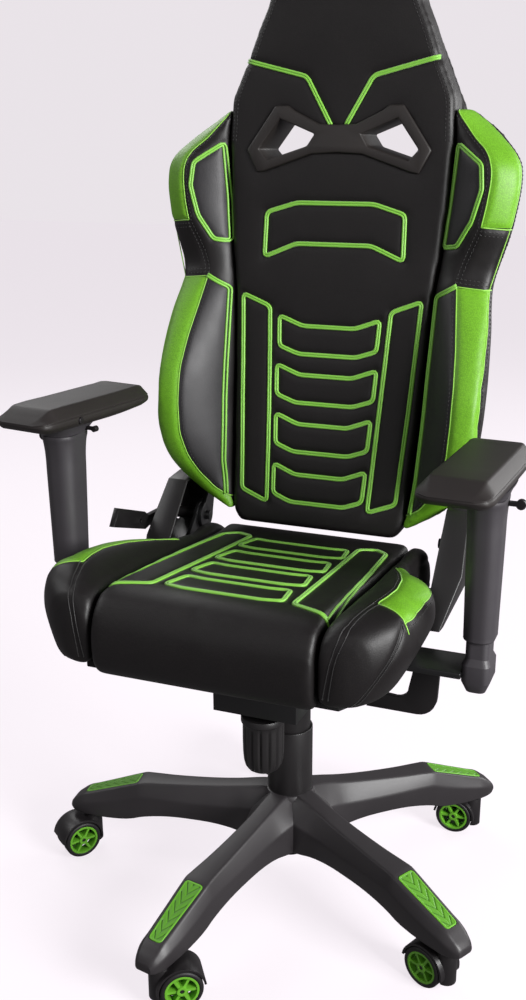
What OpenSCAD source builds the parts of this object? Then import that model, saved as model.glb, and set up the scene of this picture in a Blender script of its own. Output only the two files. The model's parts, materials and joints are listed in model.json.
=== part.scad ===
// High-backed gaming chair on a five-arm caster base, in millimetres.
// The origin is on the floor under the gas lift, +Z is up and the sitter faces -Y.

/* [Base] */
// Radius from the column axis to each caster stem
stem_r = 312; // [300:1:325]
// Radius from the column axis to the tip of a base arm
tip_r = 342; // [336:1:350]
// Heading of the first base arm, from +X
arm_turn = -29.1; // [-36:0.1:36]
// Radius of a caster wheel
wheel_r = 28; // [27:0.5:29]
// Width of a caster wheel
wheel_w = 16; // [14:0.5:17]
// Distance from a caster stem to its axle
trail = 26; // [24:0.5:28]

/* [Column] */
// Radius of the lower column cover
cover_r = 32; // [31:0.5:36]
// Radius of the gas cylinder
cylinder_r = 25; // [25:0.5:26]
// Radius of the piston rod
rod_r = 14; // [13:0.5:14]

/* [Seat] */
// Height of the seat surface above the column axis
seat_z = 513.5; // [505:0.5:525]
// Rise of the seat surface towards its front, in degrees
seat_rise = 6.5; // [4:0.5:8]
// Half width of the seat's centre panel
panel_half = 140; // [130:1:145]
// Half width of the whole seat
seat_half = 255; // [250:1:262]
// Distance from the column axis to the front of the seat
seat_front = 300; // [295:1:305]

/* [Backrest] */
// Height of the recliner pivot
pivot_z = 506; // [502:1:510]
// Distance of the recliner pivot behind the column axis
pivot_y = 122; // [118:1:126]
// Height of the top of the backrest
top_z = 1282; // [1270:1:1290]

/* [Armrests] */
// Distance of each armrest post from the middle plane
post_x = 282; // [280:1:286]
// Distance of the armrest posts in front of the column axis
post_y = 100; // [96:1:104]
// Height of the top of the pad on the +X side
pad_z = 697; // [690:1:704]
// How much higher the pad on the -X side stands
lift_left = 24; // [0:1:32]
// How far the pad on the +X side is set in towards the sitter
inset_right = 12; // [0:1:14]
// How far the pad on the -X side is slid back
slide_left = 38; // [0:1:38]
// Toe-out of the pad on the -X side
toe_left = 9; // [0:1:12]
// Toe-out of the pad on the +X side
toe_right = -3; // [-12:1:12]

/* [Hidden] */
$fn = 48;

gap = 0.05;
caster_turns = [156, 180, 250, 234, 36];
wheel_inner = 5;
arm_under = 63;
hub_top = 150;
hub_under = 66;
hub_r = 42;
stem_pin_r = 5.5;
axle_r = 3;
rim_r = 22;
pad_in = 232;
pad_out = 318;

cover_top = 250;
inner_cover_r = 28.8;
rod_low = 122;
rod_high = 358;
cylinder_low = 50;
cylinder_top = 252;

tilt_y = -60;
tilt_z = 385;
tilt_pin_r = 6;
housing_low = 324;
housing_half = 58;
knob_y = -102;
knob_r = 28;
knob_low = 235;
spring_low = 346;
spring_h = 42;
lever_y = -50;
lever_z = 343;
lever_root = 66;

plate_low = 421;
board_low = 435;
board_top = 445;
board_half = 178;
cavity_top = 464;
seat_back = 112;
frame_r = 8.5;
bracket_x = 188;
bracket_t = 5;
foam = 42;
shell_off = 60;
shell_t = 11;

bore_x = 30;
bore_y = 43;
slide_gap = 0.6;
spigot_r = 9;
spigot_h = 8;
hinge_r = 2.4;
sleeve_low = 474;
sleeve_high = 652;
carrier_high = 667;
post_low = 408;

function seat_at(y) = seat_z - y * tan(seat_rise);
function back_at(z) = 88 + 0.2244 * (z - 500) - 0.000129 * pow(z - 500, 2);
function arc(r, from, to, steps) = [for (i = [0 : steps]) let (a = from + (to - from) * i / steps)
    [r * cos(a), r * sin(a)]];
function shift(points, by) = [for (p = points) p + by];
// Both halves of an outline that keeps clear of the middle line, or that starts and ends on it
function both(points) = concat(points, [for (i = [len(points) - 1 : -1 : 0])
    [-points[i][0], points[i][1]]]);
function whole(points) = concat(points, [for (i = [len(points) - 2 : -1 : 1])
    [-points[i][0], points[i][1]]]);

// ---- small helpers ----

// Solid with an outline in x and z, from y0 to y1
module upright(y0, y1) {
    translate([0, y1, 0]) rotate([90, 0, 0]) linear_extrude(y1 - y0) children();
}

// Solid with an outline in y and z, from x0 to x1
module sideways(x0, x1) {
    translate([x0, 0, 0]) rotate([90, 0, 90]) linear_extrude(x1 - x0) children();
}

// Round bar between two points
module bar(a, b, r) {
    d = b - a;
    turn = atan2(d[1], d[0]);
    lean = atan2(sqrt(d[0] * d[0] + d[1] * d[1]), d[2]);
    translate(a) rotate([0, lean, turn]) cylinder(r = r, h = norm(d), $fn = 24);
}

// Rectangle with round corners
module round_rect(x, y, r) {
    for (cx = [-1, 1], cy = [-1, 1]) {
        translate([cx * (x / 2 - r), cy * (y / 2 - r)]) circle(r = r, $fn = 24);
    }
    square([x - 2 * r, y], center = true);
    square([x, y - 2 * r], center = true);
}

// Layer of the backrest between two distances behind its front surface
module back_layer(near, far, z0, z1) {
    steps = 12;
    zs = [for (i = [0 : steps]) z0 + (z1 - z0) * i / steps];
    sideways(-300, 300) polygon(concat([for (z = zs) [back_at(z) + near, z]],
        [for (i = [steps : -1 : 0]) [back_at(zs[i]) + far, zs[i]]]));
}

module at_arm(i) {
    rotate([0, 0, arm_turn + 72 * i]) children();
}

module at_caster(i) {
    a = arm_turn + 72 * i;
    translate([stem_r * cos(a), stem_r * sin(a), 0]) rotate([0, 0, caster_turns[i]]) children();
}

// ---- base ----

module base_arm() {
    side = [[0, hub_under], [60, 80], [130, 84], [188, 80], [231, 72], [270, arm_under],
        [tip_r - 10, arm_under], [tip_r, 78], [tip_r - 12, 92], [pad_out + 2, 97],
        [pad_in - 4, 130], [140, 139], [80, 146], [0, hub_top]];
    plan = [[0, -34], [60, -29], [150, -25], [pad_in, -25], [tip_r - 22, -24], [tip_r - 6, -16],
        [tip_r, -8], [tip_r, 8], [tip_r - 6, 16], [tip_r - 22, 24], [pad_in, 25], [150, 25],
        [60, 29], [0, 34]];
    section = [[-30, hub_under - 10], [30, hub_under - 10], [25, 70], [19, 132], [15, hub_top],
        [-15, hub_top], [-19, 132], [-25, 70]];
    intersection() {
        upright(-40, 40) polygon(side);
        linear_extrude(200) polygon(plan);
        sideways(0, tip_r + 5) polygon(section);
    }
}

module pad_shape(shrink) {
    polygon([[pad_in + shrink, -14 + shrink], [pad_out - shrink, -10 + shrink],
        [pad_out - shrink, 10 - shrink], [pad_in + shrink, 14 - shrink]]);
}

// The pads lie on the sloped arm ends, so their slots follow that slope
module pad_slab(shrink, low, high) {
    drop = atan2(130 - 97, pad_out + 6 - pad_in);
    intersection() {
        linear_extrude(200) pad_shape(shrink);
        translate([pad_in - 4, 0, 130]) rotate([0, drop, 0]) translate([-20, -30, low])
            cube([140, 60, high - low]);
    }
}

module star_base() {
    color("#2b2829") difference() {
        union() {
            for (i = [0 : 4]) at_arm(i) base_arm();
            translate([0, 0, hub_under - 8]) cylinder(r = hub_r, h = hub_top - hub_under + 8);
        }
        for (i = [0 : 4]) {
            at_arm(i) pad_slab(0, -3, 20);
            at_arm(i) translate([stem_r, 0, 40]) cylinder(r = stem_pin_r + gap, h = 45);
        }
        translate([0, 0, 40]) cylinder(r = cylinder_r, h = 140);
    }
}

module base_pads() {
    color("#6fae35") for (i = [0 : 4]) at_arm(i) pad_slab(0.3, -3, 2);
}

module gas_cylinder() {
    color("#1c1c1e") difference() {
        translate([0, 0, cylinder_low]) cylinder(r = cylinder_r, h = cylinder_top - cylinder_low);
        translate([0, 0, cylinder_low + 4]) cylinder(r = rod_r + gap, h = 220);
    }
}

module cover_lower() {
    color("#39363a") difference() {
        translate([0, 0, hub_top]) cylinder(r = cover_r, h = cover_top - hub_top);
        translate([0, 0, hub_top - 1]) cylinder(r = cover_r - 2.5, h = 120);
    }
}

// ---- casters ----

module wheel_space() {
    for (s = [-1, 1]) translate([trail, s * (wheel_inner + wheel_w / 2), wheel_r])
        rotate([90, 0, 0]) cylinder(r = wheel_r + 1.2, h = wheel_w + 1.4, center = true);
}

module caster_fork(i) {
    hood_r = wheel_r + 4.2;
    axle_half = wheel_inner + wheel_w;
    color("#262324") at_caster(i) {
        difference() {
            union() {
                cylinder(r = stem_pin_r, h = 84);
                translate([0, 0, 14]) cylinder(r = 13, h = 46);
                upright(-axle_half + 1, axle_half - 1) translate([trail, wheel_r])
                    polygon(concat(arc(hood_r, 8, 190, 20), [[0, 0]]));
            }
            cylinder(r = 20, h = 14);
            wheel_space();
            translate([trail, 0, wheel_r]) rotate([90, 0, 0])
                cylinder(r = wheel_r + 1.2, h = 14.2, center = true);
        }
        upright(-wheel_inner + 1, wheel_inner - 1) polygon([[-8, 16], [-8, 56], [4, 58], [30, 52],
            [40, 36], [38, 20], [trail, 14]]);
        translate([trail, 0, wheel_r]) rotate([90, 0, 0])
            cylinder(r = axle_r, h = 2 * axle_half - 3, center = true);
    }
}

module caster_tyres(i) {
    chamfer = 2;
    color("#1d1c1d") at_caster(i) for (s = [-1, 1])
        translate([trail, s * (wheel_inner + wheel_w / 2), wheel_r]) rotate([90, 0, 0])
            rotate_extrude() polygon([[rim_r, -wheel_w / 2], [wheel_r - chamfer, -wheel_w / 2],
                [wheel_r, -wheel_w / 2 + chamfer], [wheel_r, wheel_w / 2 - chamfer],
                [wheel_r - chamfer, wheel_w / 2], [rim_r, wheel_w / 2]]);
}

module caster_hubs(i) {
    spokes = 6;
    web = wheel_w - 4;
    color("#7ab63c") at_caster(i) for (s = [-1, 1])
        translate([trail, s * (wheel_inner + wheel_w / 2), wheel_r]) rotate([90, 0, 0])
            difference() {
                union() {
                    cylinder(r = 6.5, h = wheel_w - 1, center = true);
                    difference() {
                        cylinder(r = rim_r, h = wheel_w - 1, center = true);
                        cylinder(r = rim_r - 3, h = wheel_w, center = true);
                    }
                    for (k = [0 : spokes - 1]) rotate([0, 0, 360 / spokes * k])
                        translate([rim_r / 2, 0, 0]) cube([rim_r - 2, 3.4, web], center = true);
                }
                cylinder(r = axle_r + gap, h = wheel_w + 1, center = true);
            }
}

// ---- column and mechanism ----

module piston_rod() {
    color("#c9c9cc") translate([0, 0, rod_low]) cylinder(r = rod_r, h = rod_high - rod_low);
}

module cover_upper() {
    color("#4a474b") difference() {
        translate([0, 0, 220]) cylinder(r = inner_cover_r, h = housing_low - 220);
        translate([0, 0, 219]) cylinder(r = inner_cover_r - 2.3, h = housing_low);
    }
}

module tilt_housing() {
    shape = [[-134, housing_low + 4], [-40, housing_low], [40, housing_low], [78, 340], [78, 366],
        [10, 396], [-90, 402], [-134, 384]];
    color("#2a2729") difference() {
        sideways(-housing_half, housing_half) polygon(shape);
        translate([0, 0, 300]) cylinder(r = rod_r + gap, h = rod_high - 300 + 4);
        translate([0, tilt_y, tilt_z]) rotate([0, 90, 0])
            cylinder(r = tilt_pin_r, h = 2 * housing_half + 2, center = true);
        translate([0, knob_y, 300]) cylinder(r = 5 + gap, h = 60);
        translate([0, knob_y, spring_low]) cylinder(r = 17, h = spring_h);
        for (s = [-1, 1]) translate([s * (housing_half - 14), lever_y, lever_z])
            rotate([0, s * 90, 0]) cylinder(r = 8, h = 30);
    }
}

module tilt_pin() {
    color("#8d8d90") translate([0, tilt_y, tilt_z]) rotate([0, 90, 0])
        cylinder(r = tilt_pin_r, h = 2 * housing_half + 14, center = true);
}

module tension_spring() {
    color("#9a9a9e") translate([0, knob_y, spring_low]) difference() {
        cylinder(r = 15, h = spring_h);
        translate([0, 0, -1]) cylinder(r = 9, h = spring_h + 2);
    }
}

module tension_knob() {
    flutes = 16;
    color("#2f2c2e") translate([0, knob_y, 0]) difference() {
        union() {
            translate([0, 0, knob_low + 12]) cylinder(r = knob_r - 2, h = 62);
            translate([0, 0, knob_low + 74]) cylinder(r = knob_r + 2, h = 8);
            intersection() {
                translate([0, 0, knob_low + 26]) sphere(r = knob_r - 1);
                translate([0, 0, knob_low]) cylinder(r = knob_r - 2, h = 13);
            }
            translate([0, 0, knob_low + 80]) cylinder(r = 5, h = 40);
        }
        for (k = [0 : flutes - 1]) rotate([0, 0, 360 / flutes * k])
            translate([knob_r - 1, 0, knob_low + 8]) cylinder(r = 2, h = 60, $fn = 16);
    }
}

// Side lever, drawn for the +X side: a rod out of the housing and a flat curved paddle
module side_lever() {
    paddle = concat([[128, 330], [182, 330]], shift(arc(26, -90, 0, 6), [196, 356]),
        [[224, 396], [190, 396]], shift(arc(16, 0, -90, 6), [168, 366]), [[128, 353]]);
    translate([lever_root - 10, lever_y, lever_z]) rotate([0, 90, 0]) cylinder(r = 5, h = 77);
    translate([lever_root, lever_y, lever_z]) rotate([90, 0, 0])
        cylinder(r = 6.4, h = 8.4, center = true);
    upright(lever_y - 4, lever_y + 4) polygon(paddle);
}

module tilt_lever() {
    color("#232122") side_lever();
}

module lift_lever() {
    color("#232122") mirror([1, 0, 0]) side_lever();
}

// ---- seat ----

module seat_plate() {
    color("#2a2a2c") difference() {
        union() {
            translate([-100, -150, plate_low]) cube([200, 250, board_low - plate_low - 8]);
            for (s = [-1, 1]) sideways(s * (housing_half + 4.5) - 2.5, s * (housing_half + 4.5) + 2.5)
                polygon([[-110, plate_low + 1], [-84, 376], [-36, 376], [-10, plate_low + 1]]);
        }
        translate([0, tilt_y, tilt_z]) rotate([0, 90, 0])
            cylinder(r = tilt_pin_r + gap, h = 200, center = true);
    }
}

module board_shape() {
    polygon(both([[board_half - 18, -272], [board_half, -240], [board_half, seat_back - 8]]));
}

module seat_board() {
    color("#6e5a44") translate([0, 0, board_low]) linear_extrude(board_top - board_low)
        board_shape();
}

module seat_frame() {
    z = board_top + frame_r;
    x = board_half - 14;
    corners = [[-x, -258, z], [x, -258, z], [x, 92, z], [-x, 92, z]];
    color("#202022") {
        for (i = [0 : 3]) bar(corners[i], corners[(i + 1) % 4], frame_r);
        for (c = corners) translate(c) sphere(r = frame_r, $fn = 24);
    }
}

module seat_cavity() {
    translate([-board_half - 1, -274, 400]) cube([2 * board_half + 2, 420, cavity_top - 400]);
}

module seat_cushion() {
    front = -seat_front;
    side = concat([[seat_back, board_low + 4], [seat_back, seat_at(seat_back) - 10],
        [seat_back - 10, seat_at(seat_back - 10)], [front + 44, seat_at(front + 44)]],
        shift(arc(36, 78, 182, 8), [front + 34, seat_at(front + 44) - 36]),
        [[front + 1, 470], [front + 8, 440], [front + 16, 436], [front + 28, 436]]);
    color("#211e1f") difference() {
        sideways(-panel_half, panel_half) polygon(side);
        seat_cavity();
    }
}

// Seat bolster on the +X side
module seat_bolster() {
    r = 13;
    inner = panel_half + r + 0.4;
    front = -seat_front + r + 6;
    difference() {
        union() {
            hull() {
                translate([inner, front + 6, 520]) sphere(r = r, $fn = 20);
                translate([inner, front, 452]) sphere(r = r, $fn = 20);
                translate([seat_half - 40, front + 14, 525]) sphere(r = r, $fn = 20);
                translate([seat_half - 46, front + 14, 456]) sphere(r = r, $fn = 20);
                translate([inner + 26, -220, 546]) sphere(r = r, $fn = 20);
                translate([seat_half - 22, -222, 536]) sphere(r = r, $fn = 20);
                translate([seat_half - r, -215, 500]) sphere(r = r, $fn = 20);
                translate([seat_half - r - 2, -130, 506]) sphere(r = r, $fn = 20);
                translate([inner, -60, 450]) sphere(r = r, $fn = 20);
                translate([seat_half - 50, -60, 462]) sphere(r = r, $fn = 20);
                translate([inner, -60, 514]) sphere(r = r, $fn = 20);
                translate([seat_half - 52, -70, 516]) sphere(r = r, $fn = 20);
            }
            hull() {
                translate([inner, -60, 450]) sphere(r = r, $fn = 20);
                translate([seat_half - 72, -60, 450]) sphere(r = r, $fn = 20);
                translate([seat_half - 72, -60, 514]) sphere(r = r, $fn = 20);
                translate([inner, -60, 514]) sphere(r = r, $fn = 20);
                translate([inner, seat_back - r, 450]) sphere(r = r, $fn = 20);
                translate([172 - r, seat_back - r, 452]) sphere(r = r, $fn = 20);
                translate([inner, seat_back - r, 492]) sphere(r = r, $fn = 20);
                translate([172 - r, seat_back - r, 490]) sphere(r = r, $fn = 20);
            }
        }
        seat_cavity();
        translate([bracket_x - 2, -40, 400]) cube([80, 200, 200]);
        translate([panel_half - 20, -340, 400]) cube([20, 500, 200]);
    }
}

module seat_bolster_right() {
    color("#2a2628") seat_bolster();
}

module seat_bolster_left() {
    color("#2a2628") mirror([1, 0, 0]) seat_bolster();
}

module seat_bolts() {
    color("#9b9b9e") for (x = [-80, 80], y = [-135, 85])
        translate([x, y, plate_low - 5]) cylinder(r = 6.5, h = 5, $fn = 6);
}

// ---- armrests ----

module arm_brackets() {
    low = board_low - 8;
    color("#242223") for (s = [-1, 1]) {
        translate([s > 0 ? 60 : -post_x + 16, -post_y - 30, low]) cube([post_x - 76, 60, 8]);
    }
}

module arm_post() {
    translate([post_x, -post_y, 0]) {
        difference() {
            union() {
                translate([0, 0, post_low]) hull() {
                    linear_extrude(1) round_rect(24, 40, 8);
                    translate([0, 0, 14]) linear_extrude(22) round_rect(35, 52, 9);
                    translate([0, 0, 44]) linear_extrude(1) round_rect(bore_x - 2, bore_y - 2, 9);
                }
                translate([0, 0, 440]) linear_extrude(150)
                    round_rect(bore_x - 2 * slide_gap, bore_y - 2 * slide_gap, 8);
            }
            translate([-17 - 20, -30.1, board_low - 8]) cube([21, 60.2, 8]);
        }
    }
}

module arm_posts() {
    color("#353236") arm_post();
    color("#353236") mirror([1, 0, 0]) arm_post();
}

// Everything above the post, drawn for the +X side at its own height and pose
module sleeve() {
    translate([post_x, -post_y, 0]) difference() {
        union() {
            hull() {
                translate([0, 0, sleeve_low]) linear_extrude(1) round_rect(38, 50, 13);
                translate([0, 0, sleeve_high - 31]) linear_extrude(1) round_rect(42, 56, 16);
            }
            hull() {
                translate([0, 0, sleeve_high - 32]) linear_extrude(1) round_rect(42, 56, 16);
                translate([0, 0, sleeve_high - 1]) linear_extrude(1) round_rect(46, 66, 18);
            }
        }
        translate([0, 0, sleeve_low - 1]) linear_extrude(sleeve_high - sleeve_low - 11)
            round_rect(bore_x, bore_y, 8);
        translate([12, 4, sleeve_high - 13]) cube([34, 9, 7]);
        translate([0, 0, sleeve_high - spigot_h - 0.5]) cylinder(r = spigot_r + gap, h = 20);
    }
}

module height_lever() {
    translate([post_x, -post_y, 0]) {
        translate([18, 5, sleeve_high - 12]) cube([19, 7, 5]);
        translate([18, 8.5, sleeve_high - 9.5]) rotate([90, 0, 0])
            cylinder(r = hinge_r, h = 7, center = true);
        translate([37, 8.5, sleeve_high - 9.5]) rotate([90, 0, 0])
            cylinder(r = 6, h = 7, center = true);
    }
}

module pad_carrier() {
    translate([post_x, -post_y, 0]) {
        difference() {
            hull() {
                translate([0, 0, sleeve_high + 0.3]) linear_extrude(1) round_rect(46, 66, 18);
                translate([0, -4, carrier_high - 1]) linear_extrude(1) round_rect(58, 96, 18);
            }
            translate([-40, 14, sleeve_high + 2]) cube([28, 9, 6]);
        }
        translate([0, 0, sleeve_high - spigot_h]) cylinder(r = spigot_r, h = spigot_h + 2);
    }
}

module swivel_lever() {
    translate([post_x, -post_y, 0]) {
        translate([-36, 15, sleeve_high + 3]) cube([18, 7, 4]);
        translate([-18, 18.5, sleeve_high + 5]) rotate([90, 0, 0])
            cylinder(r = hinge_r, h = 7, center = true);
        translate([-36, 18.5, sleeve_high + 5]) rotate([90, 0, 0])
            cylinder(r = 4, h = 7, center = true);
    }
}

module arm_pad() {
    top = pad_z - carrier_high - 0.5;
    translate([post_x, -post_y, carrier_high + 0.5]) difference() {
        hull() {
            for (y = [-100, 82], x = [-26, 26]) translate([x, y, 0]) cylinder(r = 12, h = 1);
            for (y = [-111, 86], x = [-30, 30]) translate([x, y, 6]) cylinder(r = 14, h = 8);
            for (y = [-91, 85], x = [-22, 22]) translate([x, y, top - 1]) cylinder(r = 8, h = 1);
        }
        translate([-60, 50, -6]) rotate([4, 0, 0]) cube([120, 100, 6]);
        translate([-50, -56, 9]) rotate([0, 90, 0]) cylinder(r = 4.6, h = 12);
    }
}

module slide_button() {
    translate([post_x - 46, -post_y - 56, carrier_high + 9.5]) rotate([0, 90, 0])
        cylinder(r = 4.2, h = 5);
}

module turned(angle) {
    translate([post_x, -post_y, 0]) rotate([0, 0, angle]) translate([-post_x, post_y, 0])
        children();
}

module slid(inward, back) {
    translate([-inward, back, 0]) children();
}

module left_side() {
    translate([0, 0, lift_left]) mirror([1, 0, 0]) children();
}

module arm_sleeve_right() {
    color("#454246") sleeve();
}

module arm_sleeve_left() {
    color("#454246") left_side() sleeve();
}

module height_lever_right() {
    color("#1e1c1d") height_lever();
}

module height_lever_left() {
    color("#1e1c1d") left_side() height_lever();
}

module pad_carrier_right() {
    color("#353236") turned(toe_right) pad_carrier();
}

module pad_carrier_left() {
    color("#353236") left_side() turned(toe_left) pad_carrier();
}

module swivel_lever_right() {
    color("#5b585c") turned(toe_right) swivel_lever();
}

module swivel_lever_left() {
    color("#5b585c") left_side() turned(toe_left) swivel_lever();
}

module arm_pad_right() {
    color("#2c292a") turned(toe_right) slid(inset_right, 0) arm_pad();
}

module arm_pad_left() {
    color("#2c292a") left_side() turned(toe_left) slid(0, slide_left) arm_pad();
}

module slide_button_right() {
    color("#8a878a") turned(toe_right) slid(inset_right, 0) slide_button();
}

module slide_button_left() {
    color("#8a878a") left_side() turned(toe_left) slid(0, slide_left) slide_button();
}

// ---- recliner ----

module recliner_bracket() {
    sideways(bracket_x, bracket_x + bracket_t) {
        polygon([[-30, board_low - 8], [100, board_low - 8], [pivot_y + 22, pivot_z - 10],
            [pivot_y - 22, pivot_z + 8], [40, 462]]);
        translate([pivot_y, pivot_z]) circle(r = 24);
    }
    translate([140, 0, board_low - 8]) cube([bracket_x - 139, 80, 8]);
    translate([bracket_x - 12, pivot_y, pivot_z]) rotate([0, 90, 0]) cylinder(r = 7, h = 13);
}

module recliner_brackets() {
    color("#1f1e20") recliner_bracket();
    color("#1f1e20") mirror([1, 0, 0]) recliner_bracket();
}

// Plastic cover over the recliner on the +X side, open towards the seat
module cover_body(inset) {
    side = [[-32, 440], [-8, 436], [pivot_y + 30, pivot_z - 36], [pivot_y + 36, pivot_z + 16],
        [pivot_y - 2, 574], [pivot_y - 40, 570]];
    intersection() {
        sideways(bracket_x + bracket_t + 0.5 - inset, 232) offset(delta = -inset) polygon(side);
        upright(-60, 200) polygon([[bracket_x, 430], [214 - inset, 430], [232 - inset, 500],
            [224 - inset, 580], [bracket_x, 580]]);
    }
}

module recliner_cover() {
    difference() {
        cover_body(0);
        cover_body(3.5);
    }
}

module recliner_cover_right() {
    color("#332f31") recliner_cover();
}

module recliner_cover_left() {
    color("#332f31") mirror([1, 0, 0]) difference() {
        recliner_cover();
        translate([0, pivot_y, pivot_z]) rotate([0, 90, 0]) cylinder(r = 11, h = 300);
    }
}

module recline_lever() {
    x0 = bracket_x + bracket_t + 0.4;
    grip = 246;
    color("#262425") mirror([1, 0, 0]) {
        translate([x0, pivot_y, pivot_z]) rotate([0, 90, 0]) cylinder(r = 9, h = grip + 4 - x0);
        difference() {
            sideways(grip - 4, grip + 4) polygon([[-52, 533], [-36, 556], [38, 529], [50, 520],
                [pivot_y + 6, pivot_z + 10], [pivot_y + 10, pivot_z - 8], [pivot_y - 6, pivot_z - 11],
                [50, 504], [38, 502]]);
            translate([grip - 10, 24, 519]) rotate([0, 90, 0]) cylinder(r = 3.5, h = 20);
        }
    }
}

// ---- backrest ----

// Outline of the belt holes' surround, its own hole, and the parts round it
bezel = [[0, 1066], [26, 1067], [62, 1084], [72, 1091], [91, 1091], [132, 1033], [116, 1003],
    [104, 1005], [36, 1028], [0, 1030]];
hole = [[33, 1054], [84, 1074], [114, 1034], [101, 1020], [44, 1038]];
head = concat([[0, 1066], [26, 1067], [62, 1084], [72, 1091], [91, 1091], [132, 1033],
    [162, 1046], [160, 1100], [137, 1151], [122, 1190], [106, 1223]],
    shift(arc(40, 10, 90, 5), [64, top_z - 40]), [[0, top_z]]);
lower = [[0, 528], [120, 528], [132, 544], [146, 843], [154, 909], [162, 1046], [132, 1033],
    [116, 1003], [104, 1005], [36, 1028], [0, 1030]];
shell = concat([[0, 540], [118, 540], [160, 562], [200, 610], [214, 682], [212, 780],
    [206, 870], [226, 934], [236, 1010], [214, 1058], [168, 1078], [140, 1140], [104, 1220]],
    shift(arc(34, 10, 90, 5), [62, top_z - 48]), [[0, top_z - 14]]);

module back_cushion() {
    color("#221f20") intersection() {
        back_layer(0, foam, 520, 1100);
        upright(-100, 400) polygon(whole(lower));
    }
}

module headrest() {
    color("#221f20") intersection() {
        back_layer(0, foam, 1000, top_z + 20);
        upright(-100, 400) polygon(whole(head));
    }
}

module belt_bezel() {
    color("#2b2626") intersection() {
        back_layer(-3, shell_off + shell_t + 3, 990, 1110);
        upright(-100, 400) difference() {
            polygon(whole(bezel));
            polygon(hole);
            mirror([1, 0]) polygon(hole);
        }
    }
}

module rear_shell() {
    color("#1f1d1e") intersection() {
        back_layer(shell_off, shell_off + shell_t, 520, top_z + 20);
        upright(-100, 400) difference() {
            polygon(whole(shell));
            polygon(whole(bezel));
        }
    }
}

// Pressed steel frame between the foam and the shell, with an ear on each recliner pivot
module back_frame() {
    outer = [[0, 566], [132, 566], [136, 980], [70, 1138], [0, 1138]];
    windows = [[[0, 600], [108, 600], [110, 780], [0, 780]], [[0, 806], [110, 806], [112, 966],
        [0, 966]], [[0, 1104], [0, 1124], [58, 1124], [70, 1104]]];
    ear = bracket_x - 6;
    color("#202022") {
        intersection() {
            back_layer(foam + 1, shell_off - 1, 500, 1160);
            upright(-100, 400) difference() {
                polygon(whole(outer));
                for (w = windows) polygon(whole(w));
                polygon(whole(bezel));
            }
        }
        intersection() {
            back_layer(foam + 1, shell_off - 1, 570, 604);
            upright(-100, 400) square_bar(bracket_x, 572, 602);
        }
        for (s = [-1, 1]) difference() {
            sideways(s > 0 ? ear : -bracket_x, s > 0 ? bracket_x : -ear) {
                translate([pivot_y, pivot_z]) circle(r = 21);
                polygon([[pivot_y - 20, pivot_z], [pivot_y + 20, pivot_z - 4],
                    [back_at(602) + shell_off - 1, 602], [back_at(602) + foam + 2, 602],
                    [back_at(560) + foam + 2, 560]]);
            }
            translate([0, pivot_y, pivot_z]) rotate([0, 90, 0])
                cylinder(r = 7 + gap, h = 420, center = true);
        }
    }
}

module square_bar(half, low, high) {
    translate([-half, low]) square([2 * half, high - low]);
}

// Backrest wing on the +X side: two padded lobes that meet at the waist
module back_wing() {
    r = 12;
    deep = foam - r;
    lobe_low = [[146, 0, 552], [172, -14, 566], [206, -42, 612], [221, -64, 682], [220, -56, 740],
        [211, -4, 850], [160, 6, 850]];
    lobe_high = [[160, 6, 852], [212, 4, 862], [236, 2, 940], [242, 6, 1010], [228, 8, 1040],
        [174, 8, 1070], [172, 8, 900]];
    color("#2a2628") difference() {
        union() {
            for (lobe = [lobe_low, lobe_high]) hull() {
                for (p = lobe) {
                    translate([p[0], back_at(p[2]) + p[1] + r, p[2]]) sphere(r = r, $fn = 16);
                    translate([p[0], back_at(p[2]) + deep, p[2]]) sphere(r = r, $fn = 16);
                }
            }
        }
        upright(-100, 400) polygon(concat(lower, [[0, 528]]));
        upright(-100, 400) polygon(head);
    }
}

module back_wing_right() {
    back_wing();
}

module back_wing_left() {
    mirror([1, 0, 0]) back_wing();
}

star_base();
base_pads();
gas_cylinder();
cover_lower();
caster_fork(0);  // caster_fork_1
caster_fork(1);  // caster_fork_2
caster_fork(2);  // caster_fork_3
caster_fork(3);  // caster_fork_4
caster_fork(4);  // caster_fork_5
caster_tyres(0);  // caster_tyres_1
caster_tyres(1);  // caster_tyres_2
caster_tyres(2);  // caster_tyres_3
caster_tyres(3);  // caster_tyres_4
caster_tyres(4);  // caster_tyres_5
caster_hubs(0);  // caster_hubs_1
caster_hubs(1);  // caster_hubs_2
caster_hubs(2);  // caster_hubs_3
caster_hubs(3);  // caster_hubs_4
caster_hubs(4);  // caster_hubs_5
piston_rod();
tilt_housing();
tilt_pin();
tension_spring();
cover_upper();
tension_knob();
tilt_lever();
lift_lever();
seat_plate();
seat_board();
seat_frame();
seat_cushion();
seat_bolster_left();
seat_bolster_right();
seat_bolts();
arm_brackets();
arm_posts();
recliner_brackets();
recliner_cover_left();
recliner_cover_right();
recline_lever();
back_frame();
rear_shell();
back_cushion();
back_wing_left();
back_wing_right();
headrest();
belt_bezel();
arm_sleeve_left();
arm_sleeve_right();
height_lever_left();
height_lever_right();
pad_carrier_left();
pad_carrier_right();
swivel_lever_left();
swivel_lever_right();
arm_pad_left();
arm_pad_right();
slide_button_left();
slide_button_right();
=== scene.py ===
import json
import math

import bmesh
import bpy
import numpy as np
from mathutils import Matrix, Quaternion, Vector
from mathutils.bvhtree import BVHTree


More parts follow.
